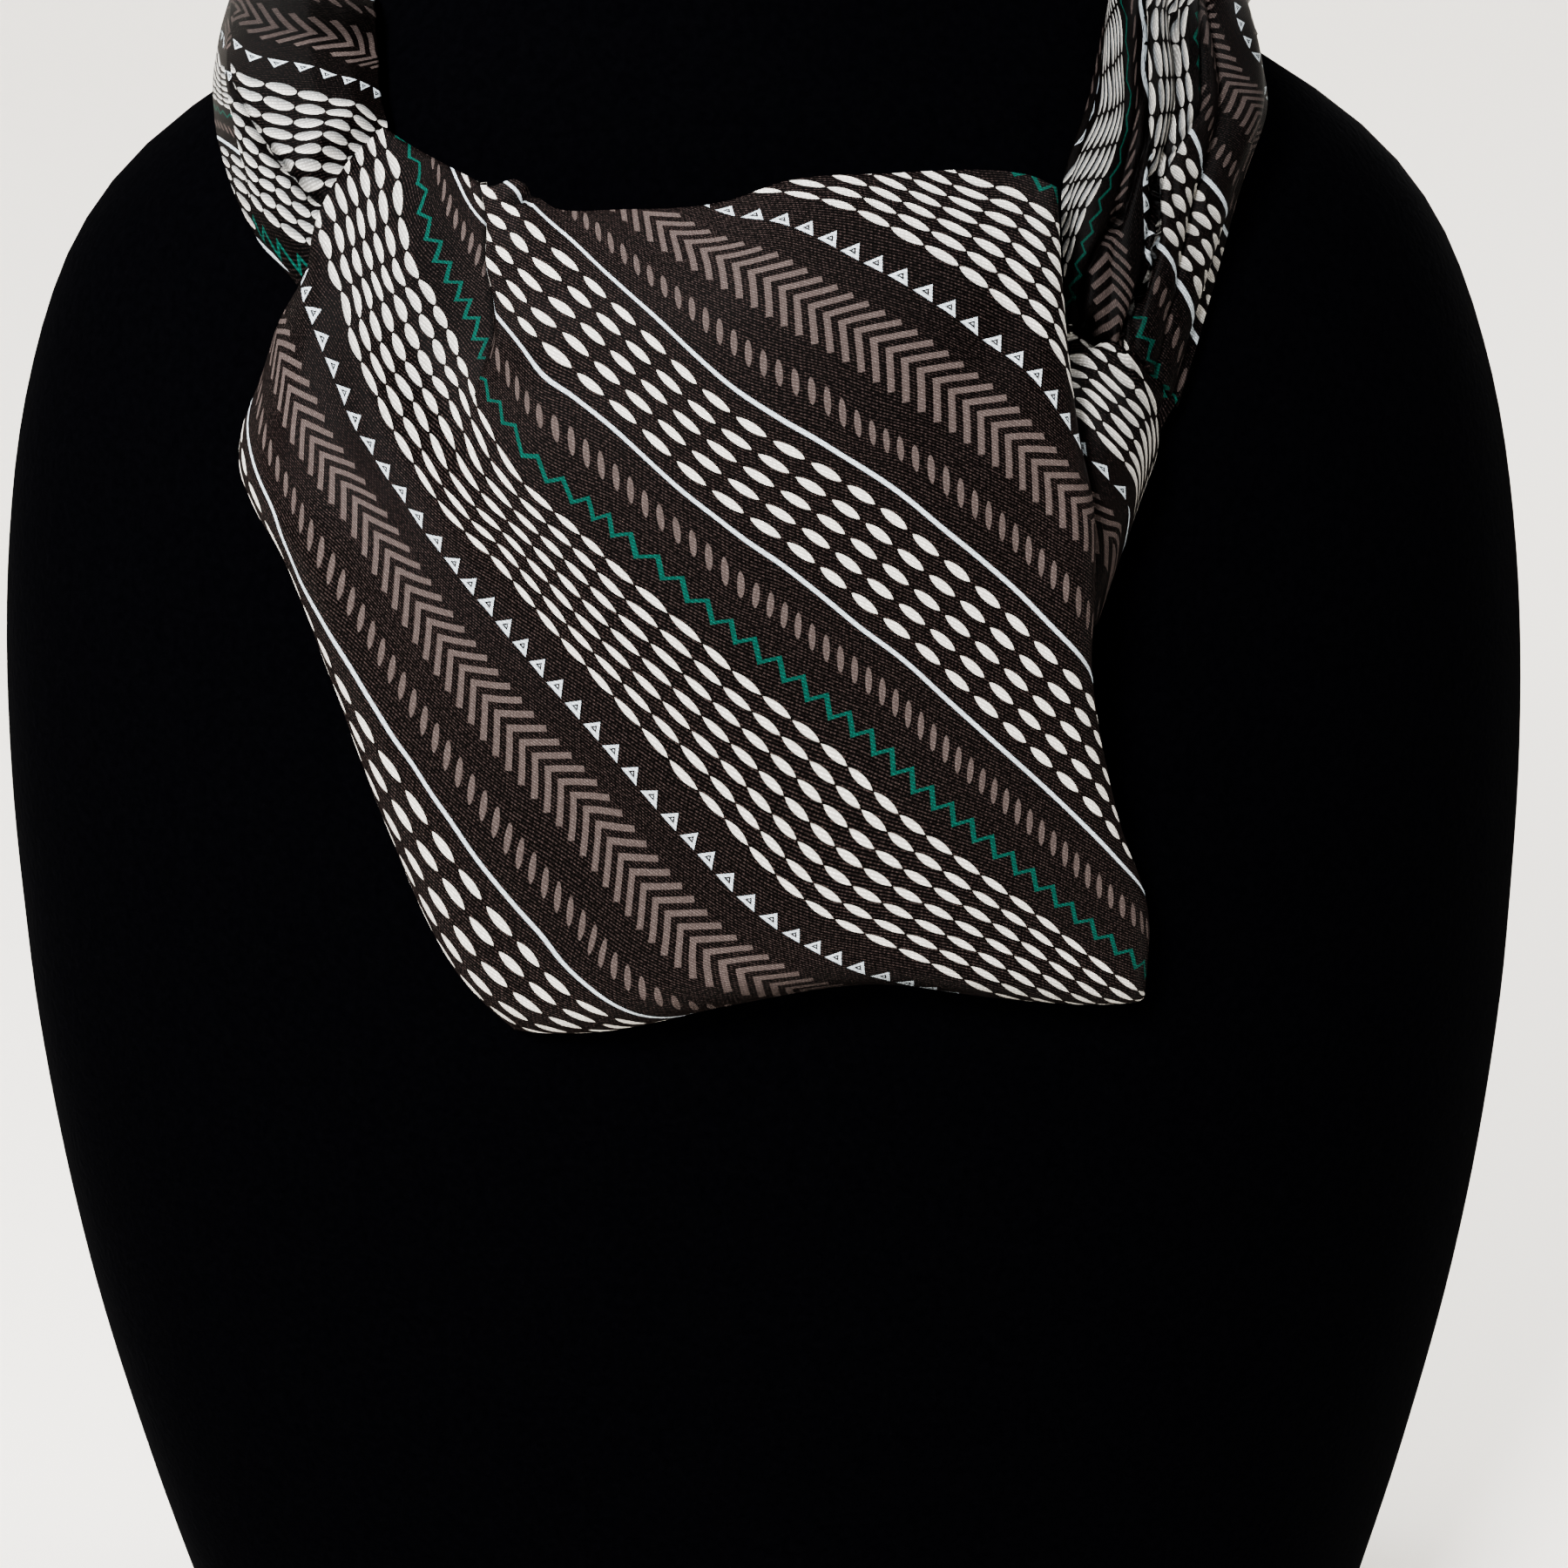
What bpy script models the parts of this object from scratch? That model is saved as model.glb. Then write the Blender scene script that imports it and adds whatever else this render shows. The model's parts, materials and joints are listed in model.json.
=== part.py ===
"""A printed twill cravat draped round a limbless velvet display bust, in metres, +Z up.

The cravat is one long scarf, folded lengthwise. A broad blade lies over the chest. From its upper
left corner the scarf turns up round the neck, passes behind it, and comes back down gathered on
the right, where it turns under the blade. Each stretch is a thin wall, and the bust is one whole
form with a flat base. The front of the bust looks towards -Y.
"""
import bpy
import numpy as np
from collections import namedtuple

MM = 0.001
FRAME_SHIFT_Y = 8.0  # the neck's axis lies this far behind the origin, so that the box is centred

# ---------------------------------------------------------------- driving sizes, in millimetres
CLOTH = 1.1  # wall of the folded twill
REST_GAP = 0.35  # cloth stays this far from what it rests on
SEAM_GAP = 0.3  # between two stretches of the scarf
SEAM_SPACING = 21.0  # least distance between two sections of the neckband at its seams
BUST_TOP = 345.0
EDGE_ROUND = 4.0  # rounding of the bust's base and of its neck's top
BUST_SIDES = 44
BLADE_GRID = (34, 30)  # columns and rows
TURN_HOLD = 0.35  # share of its slope that a curve keeps where it turns back
SHARP_ANGLE = 50.0  # degrees, beyond which an edge is shaded sharp


def smooth_curve(at, values, where):
    """Cubic through the points (at, values), with slopes held where the curve turns."""
    at = np.asarray(at, float)
    values = np.asarray(values, float)
    where = np.clip(np.asarray(where, float), at[0], at[-1])
    flat = values.reshape(len(at), -1)
    steps = np.diff(at)
    chords = np.diff(flat, axis=0) / steps[:, None]
    slopes = np.vstack([chords[:1], (chords[:-1] + chords[1:]) / 2, chords[-1:]])
    inner_turns = chords[:-1] * chords[1:] <= 0
    slopes[1:-1][inner_turns] *= TURN_HOLD
    span = np.clip(np.searchsorted(at, where, side="right") - 1, 0, len(at) - 2)
    t = ((where - at[span]) / steps[span]).reshape(-1, 1)
    h = steps[span].reshape(-1, 1)
    a, b = flat[span.ravel()], flat[span.ravel() + 1]
    ma, mb = slopes[span.ravel()], slopes[span.ravel() + 1]
    result = (
        a * (2 * t**3 - 3 * t**2 + 1)
        + b * (3 * t**2 - 2 * t**3)
        + ma * h * (t**3 - 2 * t**2 + t)
        + mb * h * (t**3 - t**2)
    )
    return result.reshape(np.shape(where) + values.shape[1:])


def ease(value):
    """0 below 0, 1 above 1, and a soft step between."""
    t = np.clip(value, 0.0, 1.0)
    return t * t * (3 - 2 * t)


# ---------------------------------------------------------------- the bust
Section = namedtuple("Section", "z half_width front back corner")
BUST_SECTIONS = [
    Section(0, 96.7, 53.0, 50.0, 2.5),
    Section(28, 102.3, 55.5, 51.5, 2.5),
    Section(60, 109.4, 58.0, 52.5, 2.45),
    Section(100, 116.2, 60.5, 54.0, 2.4),
    Section(140, 119.5, 61.8, 55.5, 2.35),
    Section(165, 119.8, 61.8, 57.0, 2.3),
    Section(200, 117.9, 60.0, 58.0, 2.3),
    Section(225, 114.1, 57.5, 58.0, 2.3),
    Section(241, 110.1, 55.2, 57.5, 2.25),
    Section(256, 104.3, 52.2, 56.5, 2.2),
    Section(264, 99.5, 50.0, 55.5, 2.2),
    Section(272, 92.5, 47.8, 54.0, 2.15),
    Section(278, 84.9, 45.8, 52.0, 2.15),
    Section(284, 75.5, 43.6, 50.0, 2.1),
    Section(290, 64.7, 41.8, 47.5, 2.1),
    Section(297, 55.5, 40.4, 44.5, 2.05),
    Section(306, 50.0, 39.5, 42.0, 2.0),
    Section(320, 47.5, 39.0, 40.5, 2.0),
    Section(345, 47.0, 38.5, 40.0, 2.0),
]
RING_HEIGHTS = [28, 58, 90, 120, 145, 165, 185, 203, 218, 230, 241, 250, 258, 265, 271, 276.5]
RING_HEIGHTS += [281.5, 286, 290.5, 295.5, 302, 311, 325]
CLEARING_PASSES = 6


def bust_section(z):
    """Half width, front depth, back depth and corner exponent at height z."""
    table = np.array(BUST_SECTIONS)
    return smooth_curve(table[:, 0], table[:, 1:], z)


def bust_front(x, z):
    """The y of the bust's front surface at (x, z)."""
    section = bust_section(z)
    width, front, corner = section[..., 0], section[..., 1], section[..., 3]
    return -front * (1 - np.abs(x / width) ** corner) ** (1 / corner)


def bust_size(points):
    """1 on the bust's surface, less inside it and more outside."""
    x, y, z = points[..., 0], points[..., 1], points[..., 2]
    section = bust_section(z)
    depth = np.where(y < 0, section[..., 1], section[..., 2])
    corner = section[..., 3]
    return (np.abs(x / section[..., 0]) ** corner + np.abs(y / depth) ** corner) ** (1 / corner)


def clear_of_bust(points, gap):
    """Moves points that lie nearer the bust than gap straight out of its surface."""
    moved = points.copy()
    half_step = np.eye(3) / 2  # half a millimetre each way
    for _ in range(CLEARING_PASSES):
        size = bust_size(moved)
        slope = np.stack(
            [bust_size(moved + step) - bust_size(moved - step) for step in half_step], axis=-1
        )
        steepness = np.linalg.norm(slope, axis=-1)
        short = np.maximum(gap - (size - 1) / steepness, 0)
        moved += slope * (short / steepness)[..., None]
    return moved


def bust_ring(z, inset):
    half_width, front, back, corner = bust_section(z)
    turn = np.arange(BUST_SIDES) * 2 * np.pi / BUST_SIDES
    across, deep = np.cos(turn), np.sin(turn)
    x = (half_width - inset) * np.sign(across) * np.abs(across) ** (2 / corner)
    depth = np.where(deep < 0, front, back) - inset
    y = depth * np.sign(deep) * np.abs(deep) ** (2 / corner)
    return np.stack([x, y, np.full(BUST_SIDES, z)], axis=-1)


def make_bust(material):
    lean = EDGE_ROUND * (1 - np.sqrt(0.5))
    levels = [(0.0, EDGE_ROUND), (lean, lean), (EDGE_ROUND, 0.0)]
    levels += [(z, 0.0) for z in RING_HEIGHTS]
    levels += [(BUST_TOP - EDGE_ROUND, 0.0), (BUST_TOP - lean, lean), (BUST_TOP, EDGE_ROUND)]
    rings = [bust_ring(z, inset) for z, inset in levels]
    points = np.vstack(rings)
    faces = []
    for level in range(len(rings) - 1):
        for side in range(BUST_SIDES):
            beside = (side + 1) % BUST_SIDES
            low, high = level * BUST_SIDES, (level + 1) * BUST_SIDES
            faces.append((low + side, low + beside, high + beside, high + side))
    faces.append(tuple(reversed(range(BUST_SIDES))))
    faces.append(tuple(range((len(rings) - 1) * BUST_SIDES, len(rings) * BUST_SIDES)))
    return add_object("display_bust", points, faces, material)


# ---------------------------------------------------------------- the front blade
Edge = namedtuple("Edge", "down x z")
LEFT_EDGE = [
    Edge(0.00, -47.5, 276.0),
    Edge(0.035, -51.5, 272.2),
    Edge(0.07, -54.1, 268.0),
    Edge(0.11, -56.0, 263.4),
    Edge(0.15, -57.2, 258.8),
    Edge(0.22, -61.8, 252.0),
    Edge(0.28, -65.0, 244.8),
    Edge(0.335, -67.8, 238.6),
    Edge(0.37, -68.4, 234.4),
    Edge(0.41, -67.0, 230.0),
    Edge(0.48, -62.9, 222.6),
    Edge(0.60, -57.2, 206.6),
    Edge(0.76, -51.2, 187.6),
    Edge(0.92, -42.6, 166.5),
    Edge(1.00, -34.8, 156.9),
]
RIGHT_EDGE = [
    Edge(0.00, 38.2, 267.4),
    Edge(0.11, 38.4, 255.6),
    Edge(0.28, 40.3, 237.9),
    Edge(0.36, 42.2, 229.3),
    Edge(0.47, 42.7, 217.1),
    Edge(0.57, 42.8, 206.9),
    Edge(0.75, 47.2, 186.8),
    Edge(0.88, 51.9, 173.0),
    Edge(1.00, 52.1, 159.3),
]
Rim = namedtuple("Rim", "across x z")
NECKLINE = [
    Rim(0.00, -47.5, 276.0),
    Rim(0.05, -43.5, 273.6),
    Rim(0.13, -36.5, 270.1),
    Rim(0.22, -28.5, 266.3),
    Rim(0.37, -15.4, 265.7),
    Rim(0.51, -3.6, 266.4),
    Rim(0.60, 4.5, 268.8),
    Rim(0.72, 14.7, 269.4),
    Rim(0.95, 34.2, 269.0),
    Rim(1.00, 38.2, 267.4),
]
HEM = [
    Rim(0.00, -34.8, 156.9),
    Rim(0.15, -21.5, 157.8),
    Rim(0.36, -3.5, 162.0),
    Rim(0.56, 14.0, 164.6),
    Rim(0.76, 31.6, 161.8),
    Rim(0.90, 43.5, 159.9),
    Rim(1.00, 52.1, 159.3),
]
# How far the blade's face stands in front of the bust, and how it falls back at its edges.
Stand = namedtuple("Stand", "down left middle right left_rim right_rim left_roll right_roll")
BLADE_STAND = [
    Stand(0.00, 4.0, 10.0, 9.5, 4.0, 8.5, 0.5, 2.0),
    Stand(0.09, 9.0, 13.0, 14.0, 8.5, 10.5, 0.5, 4.0),
    Stand(0.16, 12.5, 15.0, 15.5, 6.0, 11.0, 4.0, 4.5),
    Stand(0.28, 13.5, 16.0, 15.5, 0.9, 11.5, 8.0, 4.5),
    Stand(0.50, 13.0, 15.5, 13.0, 0.9, 9.0, 9.0, 4.5),
    Stand(0.75, 10.5, 12.5, 9.0, 0.9, 4.2, 9.0, 4.0),
    Stand(1.00, 8.0, 10.0, 6.0, 0.9, 1.4, 8.0, 3.0),
]
HEM_ROLL = (9.0, 3.0)  # from the left corner to the right one
RIM_START = 0.05  # keeps the first row of a roll off its vertical end
# A tuck at the neckline: the cloth on its right laps over the cloth on its left along one column.
TUCK_COLUMN = 0.27
Tuck = namedtuple("Tuck", "down across depth")
TUCK = [
    Tuck(0.00, 0.175, 4.6),
    Tuck(0.07, 0.265, 5.0),
    Tuck(0.15, 0.268, 3.6),
    Tuck(0.22, 0.284, 1.6),
    Tuck(0.30, 0.290, 0.0),
    Tuck(0.60, 0.270, 0.0),
    Tuck(1.00, 0.270, 0.0),
]
TUCK_STEP = 0.012  # half the width of the lap's step
TUCK_FADE = 0.22  # how far across the lap dies away
Trough = namedtuple("Trough", "z x depth")
TROUGH = [
    Trough(196.0, -8.0, 0.0),
    Trough(206.6, -21.2, 1.2),
    Trough(220.3, -33.7, 2.4),
    Trough(233.3, -42.7, 2.6),
    Trough(244.8, -47.6, 2.2),
    Trough(254.0, -51.0, 0.8),
    Trough(262.0, -54.0, 0.0),
]
TROUGH_WIDTH = 7.0
EDGE_CROWDING = 0.55  # 0 spaces the blade's rows evenly


def edge_spacing(count):
    """Fractions from 0 to 1 that lie closer together at both ends."""
    even = np.linspace(0, 1, count)
    crowded = (1 - np.cos(np.pi * even)) / 2
    return (1 - EDGE_CROWDING) * even + EDGE_CROWDING * crowded


def blade_columns():
    """Columns across the blade, with the tuck's step between two of its own."""
    columns = edge_spacing(BLADE_GRID[0] - 2)
    columns = columns[np.abs(columns - TUCK_COLUMN) > 2 * TUCK_STEP]
    step = [TUCK_COLUMN - TUCK_STEP, TUCK_COLUMN, TUCK_COLUMN + TUCK_STEP]
    return np.sort(np.append(columns, step))


def follow_tuck(columns, down):
    """Leads the tuck's column to its place in each row, and its neighbours with it."""
    place = smooth_curve([row.down for row in TUCK], [row.across for row in TUCK], down)
    left = columns * place / TUCK_COLUMN
    right = 1 - (1 - columns) * (1 - place) / (1 - TUCK_COLUMN)
    return np.where(columns < TUCK_COLUMN, left, right)


def blade_outline(across, down):
    """x and z inside the blade's four edges."""
    left = smooth_curve([e.down for e in LEFT_EDGE], [e[1:] for e in LEFT_EDGE], down)
    right = smooth_curve([e.down for e in RIGHT_EDGE], [e[1:] for e in RIGHT_EDGE], down)
    top = smooth_curve([e.across for e in NECKLINE], [e[1:] for e in NECKLINE], across)
    hem = smooth_curve([e.across for e in HEM], [e[1:] for e in HEM], across)
    s, t = across[..., None], down[..., None]
    corners = (
        (1 - s) * (1 - t) * np.array(NECKLINE[0][1:])
        + s * (1 - t) * np.array(NECKLINE[-1][1:])
        + (1 - s) * t * np.array(HEM[0][1:])
        + s * t * np.array(HEM[-1][1:])
    )
    flat = (1 - s) * left + s * right + (1 - t) * top + t * hem - corners
    return flat[..., 0], flat[..., 1], left, right, hem


def roll_profile(distance, radius):
    """Quarter round: 0 at the edge, 1 from radius inwards."""
    near = np.clip(1 - (distance + RIM_START) / radius, 0, 1)
    return np.sqrt(1 - near**2)


def blade_point(columns, down):
    across = follow_tuck(columns, down)
    x, z, left, right, hem = blade_outline(across, down)
    stand = smooth_curve([row.down for row in BLADE_STAND], [row[1:] for row in BLADE_STAND], down)
    sides = np.moveaxis(stand, -1, 0)
    left_stand, middle_stand, right_stand, left_rim, right_rim, left_roll, right_roll = sides
    bow = 4 * across * (1 - across)
    face = (1 - across) * left_stand + across * right_stand
    face = face + bow * (middle_stand - (left_stand + right_stand) / 2)
    rim = (1 - across) * left_rim + across * right_rim
    hem_roll = (1 - across) * HEM_ROLL[0] + across * HEM_ROLL[1]
    rolled = roll_profile(x - left[..., 0], left_roll)
    rolled = rolled * roll_profile(right[..., 0] - x, right_roll)
    rolled = rolled * roll_profile(z - hem[..., 1], hem_roll)
    stand_off = rim + (face - rim) * rolled
    tuck_depth = smooth_curve([row.down for row in TUCK], [row.depth for row in TUCK], down)
    beyond = columns - TUCK_COLUMN
    lap = ease(0.5 + beyond / (2 * TUCK_STEP)) * np.exp(-np.maximum(beyond, 0) / TUCK_FADE)
    stand_off = stand_off + tuck_depth * lap * rolled
    trough = np.array(TROUGH)
    trough_x = smooth_curve(trough[:, 0], trough[:, 1], z)
    trough_depth = smooth_curve(trough[:, 0], trough[:, 2], z)
    stand_off = stand_off - trough_depth * rolled * np.exp(-(((x - trough_x) / TROUGH_WIDTH) ** 2))
    y = bust_front(x, z) - stand_off
    return np.stack([x, y, z], axis=-1)


def make_front_blade(material):
    columns, down = np.meshgrid(blade_columns(), edge_spacing(BLADE_GRID[1]))
    return add_sheet("front_blade", blade_point(columns, down), material)


# ---------------------------------------------------------------- the stretch round the neck
# Lines along the band, from the edge at the neck, over the top, to the foot on the shoulder.
Across = namedtuple("Across", "inner_edge upper_face face valley outer_face ridge flank foot")
CREASE = Across(
    (-47.8, -43.2, 276.3), (-49.2, -46.8, 274.6), (-51.0, -49.8, 272.2), (-53.4, -51.4, 268.8),
    (-55.5, -52.4, 264.6), (-57.4, -52.8, 259.8), (-60.0, -49.8, 257.4), (-61.4, -46.6, 257.0),
)
TURN = Across(
    (-48.4, -40.0, 281.0), (-51.1, -45.0, 279.0), (-55.1, -47.4, 276.2), (-58.8, -47.8, 273.2),
    (-61.6, -47.6, 270.9), (-64.3, -46.4, 269.5), (-67.6, -41.6, 268.8), (-69.2, -38.2, 268.6),
)
LAP = Across(
    (-49.0, -35.7, 286.0), (-52.0, -39.5, 285.3), (-56.6, -41.8, 284.4), (-61.2, -41.4, 283.2),
    (-65.2, -40.6, 282.1), (-68.6, -37.8, 281.8), (-71.8, -31.2, 280.7), (-73.6, -26.7, 279.4),
)
COLLAR = Across(
    (-50.4, -28.3, 292.4), (-53.6, -30.4, 293.1), (-58.0, -32.0, 293.5), (-62.4, -31.0, 293.4),
    (-66.8, -28.8, 293.0), (-70.6, -24.2, 292.2), (-73.6, -19.0, 289.6), (-75.2, -15.2, 286.4),
)
COLLAR_RIGHT = Across(
    (47.5, -32.5, 290.7), (48.6, -36.4, 291.6), (51.2, -38.0, 291.8), (54.2, -36.6, 291.4),
    (57.4, -35.6, 291.0), (61.6, -32.6, 290.4), (65.4, -27.8, 289.0), (68.2, -22.8, 287.2),
)
LAP_RIGHT = Across(
    (43.6, -42.8, 278.5), (46.5, -45.6, 278.5), (50.2, -46.4, 278.4), (54.0, -44.8, 278.3),
    (58.2, -43.4, 278.3), (62.7, -40.6, 278.3), (66.6, -36.0, 278.4), (69.3, -31.2, 278.3),
)
TURN_RIGHT = Across(
    (39.5, -49.1, 265.4), (43.1, -50.8, 265.2), (47.2, -51.3, 265.0), (50.6, -50.5, 264.9),
    (54.4, -49.4, 264.9), (58.4, -47.4, 265.1), (61.6, -44.6, 265.4), (63.7, -42.0, 265.6),
)
END_RIGHT = Across(
    (39.8, -56.0, 249.8), (42.6, -55.8, 249.4), (45.4, -56.0, 248.6), (48.0, -55.8, 247.0),
    (50.4, -55.0, 244.8), (52.4, -53.8, 242.6), (53.8, -52.2, 240.6), (54.6, -50.6, 239.2),
)
# Behind the neck the band is an open fold: out from the neck, and up from the section's height.
SIDE_FOLD = Across(
    (5.6, 8.4), (7.4, 12.8), (11.2, 15.4), (15.6, 15.4),
    (19.6, 13.0), (22.8, 8.6), (24.8, 2.0), (25.2, -5.0),
)
NAPE_FOLD = Across(
    (2.0, 19.0), (4.0, 25.0), (8.0, 27.2), (11.6, 25.6),
    (14.4, 20.5), (15.8, 13.0), (14.8, 5.0), (11.5, -1.0),
)
NECK_HALF = (50.0, 42.0)
# From the left side of the neck round the back to the right: height is where the fold stands,
# nape_share how far it has its shape at the nape, and reach its width as a share of the full one.
Rear = namedtuple("Rear", "angle height nape_share reach")
REAR_SECTIONS = [
    Rear(189, 289.4, 0.00, 1.00),
    Rear(168, 291.8, 0.05, 1.00),
    Rear(147, 293.6, 0.40, 1.00),
    Rear(120, 296.0, 0.85, 1.00),
    Rear(90, 297.0, 1.00, 1.00),
    Rear(60, 296.0, 0.85, 1.00),
    Rear(33, 293.6, 0.40, 0.95),
    Rear(12, 291.8, 0.05, 0.86),
    Rear(-9, 289.4, 0.00, 0.80),
]
LEFT_REAR, RIGHT_REAR, LAST_SECTION = 7.0, 9.0, 16.0  # places along the band
# Lengthwise gathers: rounded pleats side by side, as fractions of the way across the band.
# Each stands as high as its share of its own width.
Gather = namedtuple("Gather", "start end share spans")
GATHERS = [
    Gather(0.04, 0.26, 0.26, 6),
    Gather(0.26, 0.44, 0.30, 6),
    Gather(0.44, 0.64, 0.34, 7),
    Gather(0.64, 0.87, 0.30, 7),
]
GATHER_ROUND = 0.78  # 1 would bring each pleat's sides down square
GATHERED = [(7.0, 0.0), (8.0, 0.3), (9.0, 0.6), (11.0, 0.8), (13.0, 1.0), (15.0, 1.0), (16.0, 0.5)]
PLAIN_COLUMNS = 22
FLAT_COLUMNS = 5  # beyond the last pleat
BAND_GAP = 0.8  # between the bust and the band's lines
BAND_ROWS = (21, 11, 21)  # left, back and right stretch
SEAM_STEP = SEAM_GAP / 2 / SEAM_SPACING
CREASE_STEP = (-0.75, 0.2, 0.55)  # from the blade's edge to the band's first section


def rear_section(rear):
    """The open fold at one angle round the neck."""
    turn = np.radians(rear.angle)
    fold = np.array(SIDE_FOLD) * (1 - rear.nape_share) + np.array(NAPE_FOLD) * rear.nape_share
    out = fold[0, 0] + (fold[:, 0] - fold[0, 0]) * rear.reach
    x = (NECK_HALF[0] + out) * np.cos(turn)
    y = (NECK_HALF[1] + out) * np.sin(turn)
    return np.stack([x, y, rear.height + fold[:, 1]], axis=-1)


def band_sections():
    crease = np.array(CREASE) + np.array(CREASE_STEP)
    left = [crease, np.array(TURN), np.array(LAP), np.array(COLLAR)]
    rear = [rear_section(row) for row in REAR_SECTIONS]
    right = [np.array(line) for line in (COLLAR_RIGHT, LAP_RIGHT, TURN_RIGHT, END_RIGHT)]
    return np.array(left + rear + right)


def surface_normals(grid):
    """Unit normals of a grid whose rows run along the band and whose columns run across it."""
    along = np.gradient(grid, axis=0)
    across = np.gradient(grid, axis=1)
    normal = np.cross(along, across)
    return normal / np.linalg.norm(normal, axis=-1, keepdims=True)


def gather_columns():
    """Columns across the gathered band, with the pleat of each one and its rounding there."""
    columns, pleat, rounding = [0.0], [0], [0.0]
    floor = np.sqrt(1 - GATHER_ROUND)
    for number, gather in enumerate(GATHERS):
        place = np.linspace(-1, 1, gather.spans + 1)[:-1]
        columns.extend(gather.start + (gather.end - gather.start) * (place + 1) / 2)
        pleat.extend([number] * gather.spans)
        rounding.extend((np.sqrt(1 - GATHER_ROUND * place**2) - floor) / (1 - floor))
    flat = np.linspace(GATHERS[-1].end, 1, FLAT_COLUMNS)
    columns.extend(flat)
    pleat.extend([0] * FLAT_COLUMNS)
    rounding.extend([0.0] * FLAT_COLUMNS)
    return np.array(columns), np.array(pleat), np.array(rounding)


def pleat_heights(lines, pleat, rounding, amount):
    """How far each column is raised in each row, from the pleats' widths there."""
    ends = np.array([(gather.start, gather.end) for gather in GATHERS])
    share = np.array([gather.share for gather in GATHERS])
    sides = across_band(lines, ends.ravel()).reshape(len(lines), len(GATHERS), 2, 3)
    width = np.linalg.norm(sides[:, :, 1] - sides[:, :, 0], axis=-1)
    return amount[:, None] * (share * width)[:, pleat] * rounding


def across_band(lines, columns):
    """Points at the given fractions of the way across, in each row of lines."""
    places = np.arange(lines.shape[1])
    return np.moveaxis(smooth_curve(places, np.moveaxis(lines, 1, 0), columns * places[-1]), 0, 1)


def band_lines(along):
    """The band's eight lengthwise lines, one row for each place along it, clear of the bust."""
    sections = band_sections()
    lines = smooth_curve(np.arange(len(sections)), sections, along)
    return clear_of_bust(lines, CLOTH + BAND_GAP)


def plain_band(lines):
    grid = across_band(lines, np.linspace(0, 1, PLAIN_COLUMNS))
    return clear_of_bust(grid, CLOTH + REST_GAP)


def gathered_band(lines, along):
    columns, pleat, rounding = gather_columns()
    grid = across_band(lines, columns)
    amount = np.interp(along, *np.transpose(GATHERED))
    raised = pleat_heights(lines, pleat, rounding, amount)
    return clear_of_bust(grid + surface_normals(grid) * raised[..., None], CLOTH + REST_GAP)


def make_neckbands(material):
    ends = [0.0, LEFT_REAR - SEAM_STEP, LEFT_REAR + SEAM_STEP]
    ends += [RIGHT_REAR - SEAM_STEP, RIGHT_REAR + SEAM_STEP, LAST_SECTION]
    stretches = [np.linspace(*ends[2 * k : 2 * k + 2], BAND_ROWS[k]) for k in range(3)]
    along = np.concatenate(stretches)
    lines = band_lines(along)
    plain, gathered = plain_band(lines), gathered_band(lines, along)
    left_rows, back_rows = BAND_ROWS[0], BAND_ROWS[0] + BAND_ROWS[1]
    add_sheet("left_neckband", plain[:left_rows], material)
    add_sheet("back_neckband", gathered[left_rows:back_rows], material)
    add_sheet("right_neckband", gathered[back_rows:], material)


# ---------------------------------------------------------------- the puff under the right band
Puff = namedtuple("Puff", "hidden_side inner face outer flank foot")
PUFF_ROWS = [
    Puff((40.0, -52.0, 248.4), (43.5, -52.4, 248.2), (47.0, -52.4, 246.8), (50.0, -51.4, 244.2),
         (51.6, -50.2, 241.6), (52.2, -49.0, 239.8)),
    Puff((39.0, -54.5, 244.8), (42.5, -56.8, 245.0), (46.0, -57.4, 243.6), (49.2, -56.0, 240.8),
         (51.2, -53.6, 238.2), (52.2, -50.6, 236.6)),
    Puff((37.5, -57.0, 239.0), (41.2, -60.6, 239.5), (44.8, -62.2, 238.6), (48.4, -60.2, 236.4),
         (50.6, -56.6, 234.6), (51.6, -52.8, 233.6)),
    Puff((37.0, -57.0, 231.0), (40.6, -61.0, 231.0), (44.0, -62.6, 230.4), (47.0, -61.0, 229.4),
         (48.6, -58.0, 228.6), (49.4, -54.6, 228.4)),
    Puff((36.8, -58.0, 222.5), (39.8, -60.8, 222.5), (42.4, -62.2, 222.0), (44.5, -61.4, 221.4),
         (45.9, -59.2, 221.0), (46.6, -56.4, 221.0)),
    Puff((36.6, -58.0, 213.5), (38.8, -59.8, 213.3), (40.6, -60.8, 213.0), (42.1, -60.4, 212.6),
         (43.1, -59.2, 212.4), (43.7, -57.6, 212.4)),
]
PUFF_GRID = (14, 13)


def make_right_tuck(material):
    rows = np.array([np.array(row) for row in PUFF_ROWS])
    down = smooth_curve(np.arange(len(rows)), rows, np.linspace(0, len(rows) - 1, PUFF_GRID[1]))
    places = np.arange(rows.shape[1], dtype=float)
    grid = smooth_curve(places, np.moveaxis(down, 1, 0), np.linspace(0, places[-1], PUFF_GRID[0]))
    return add_sheet("right_tuck", clear_of_bust(grid, CLOTH + REST_GAP), material)


# ---------------------------------------------------------------- the tail behind the blade
Tail = namedtuple("Tail", "z left right")
TAIL_ROWS = [
    Tail(254.0, -50.0, 30.0),
    Tail(235.0, -58.0, 32.5),
    Tail(215.0, -54.0, 34.5),
    Tail(200.0, -50.0, 43.0),
    Tail(190.0, -46.0, 46.5),
    Tail(174.0, -38.0, 42.0),
]
TAIL_GRID = (12, 10)
TAIL_GAP = 0.5  # between the tail and the bust


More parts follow.
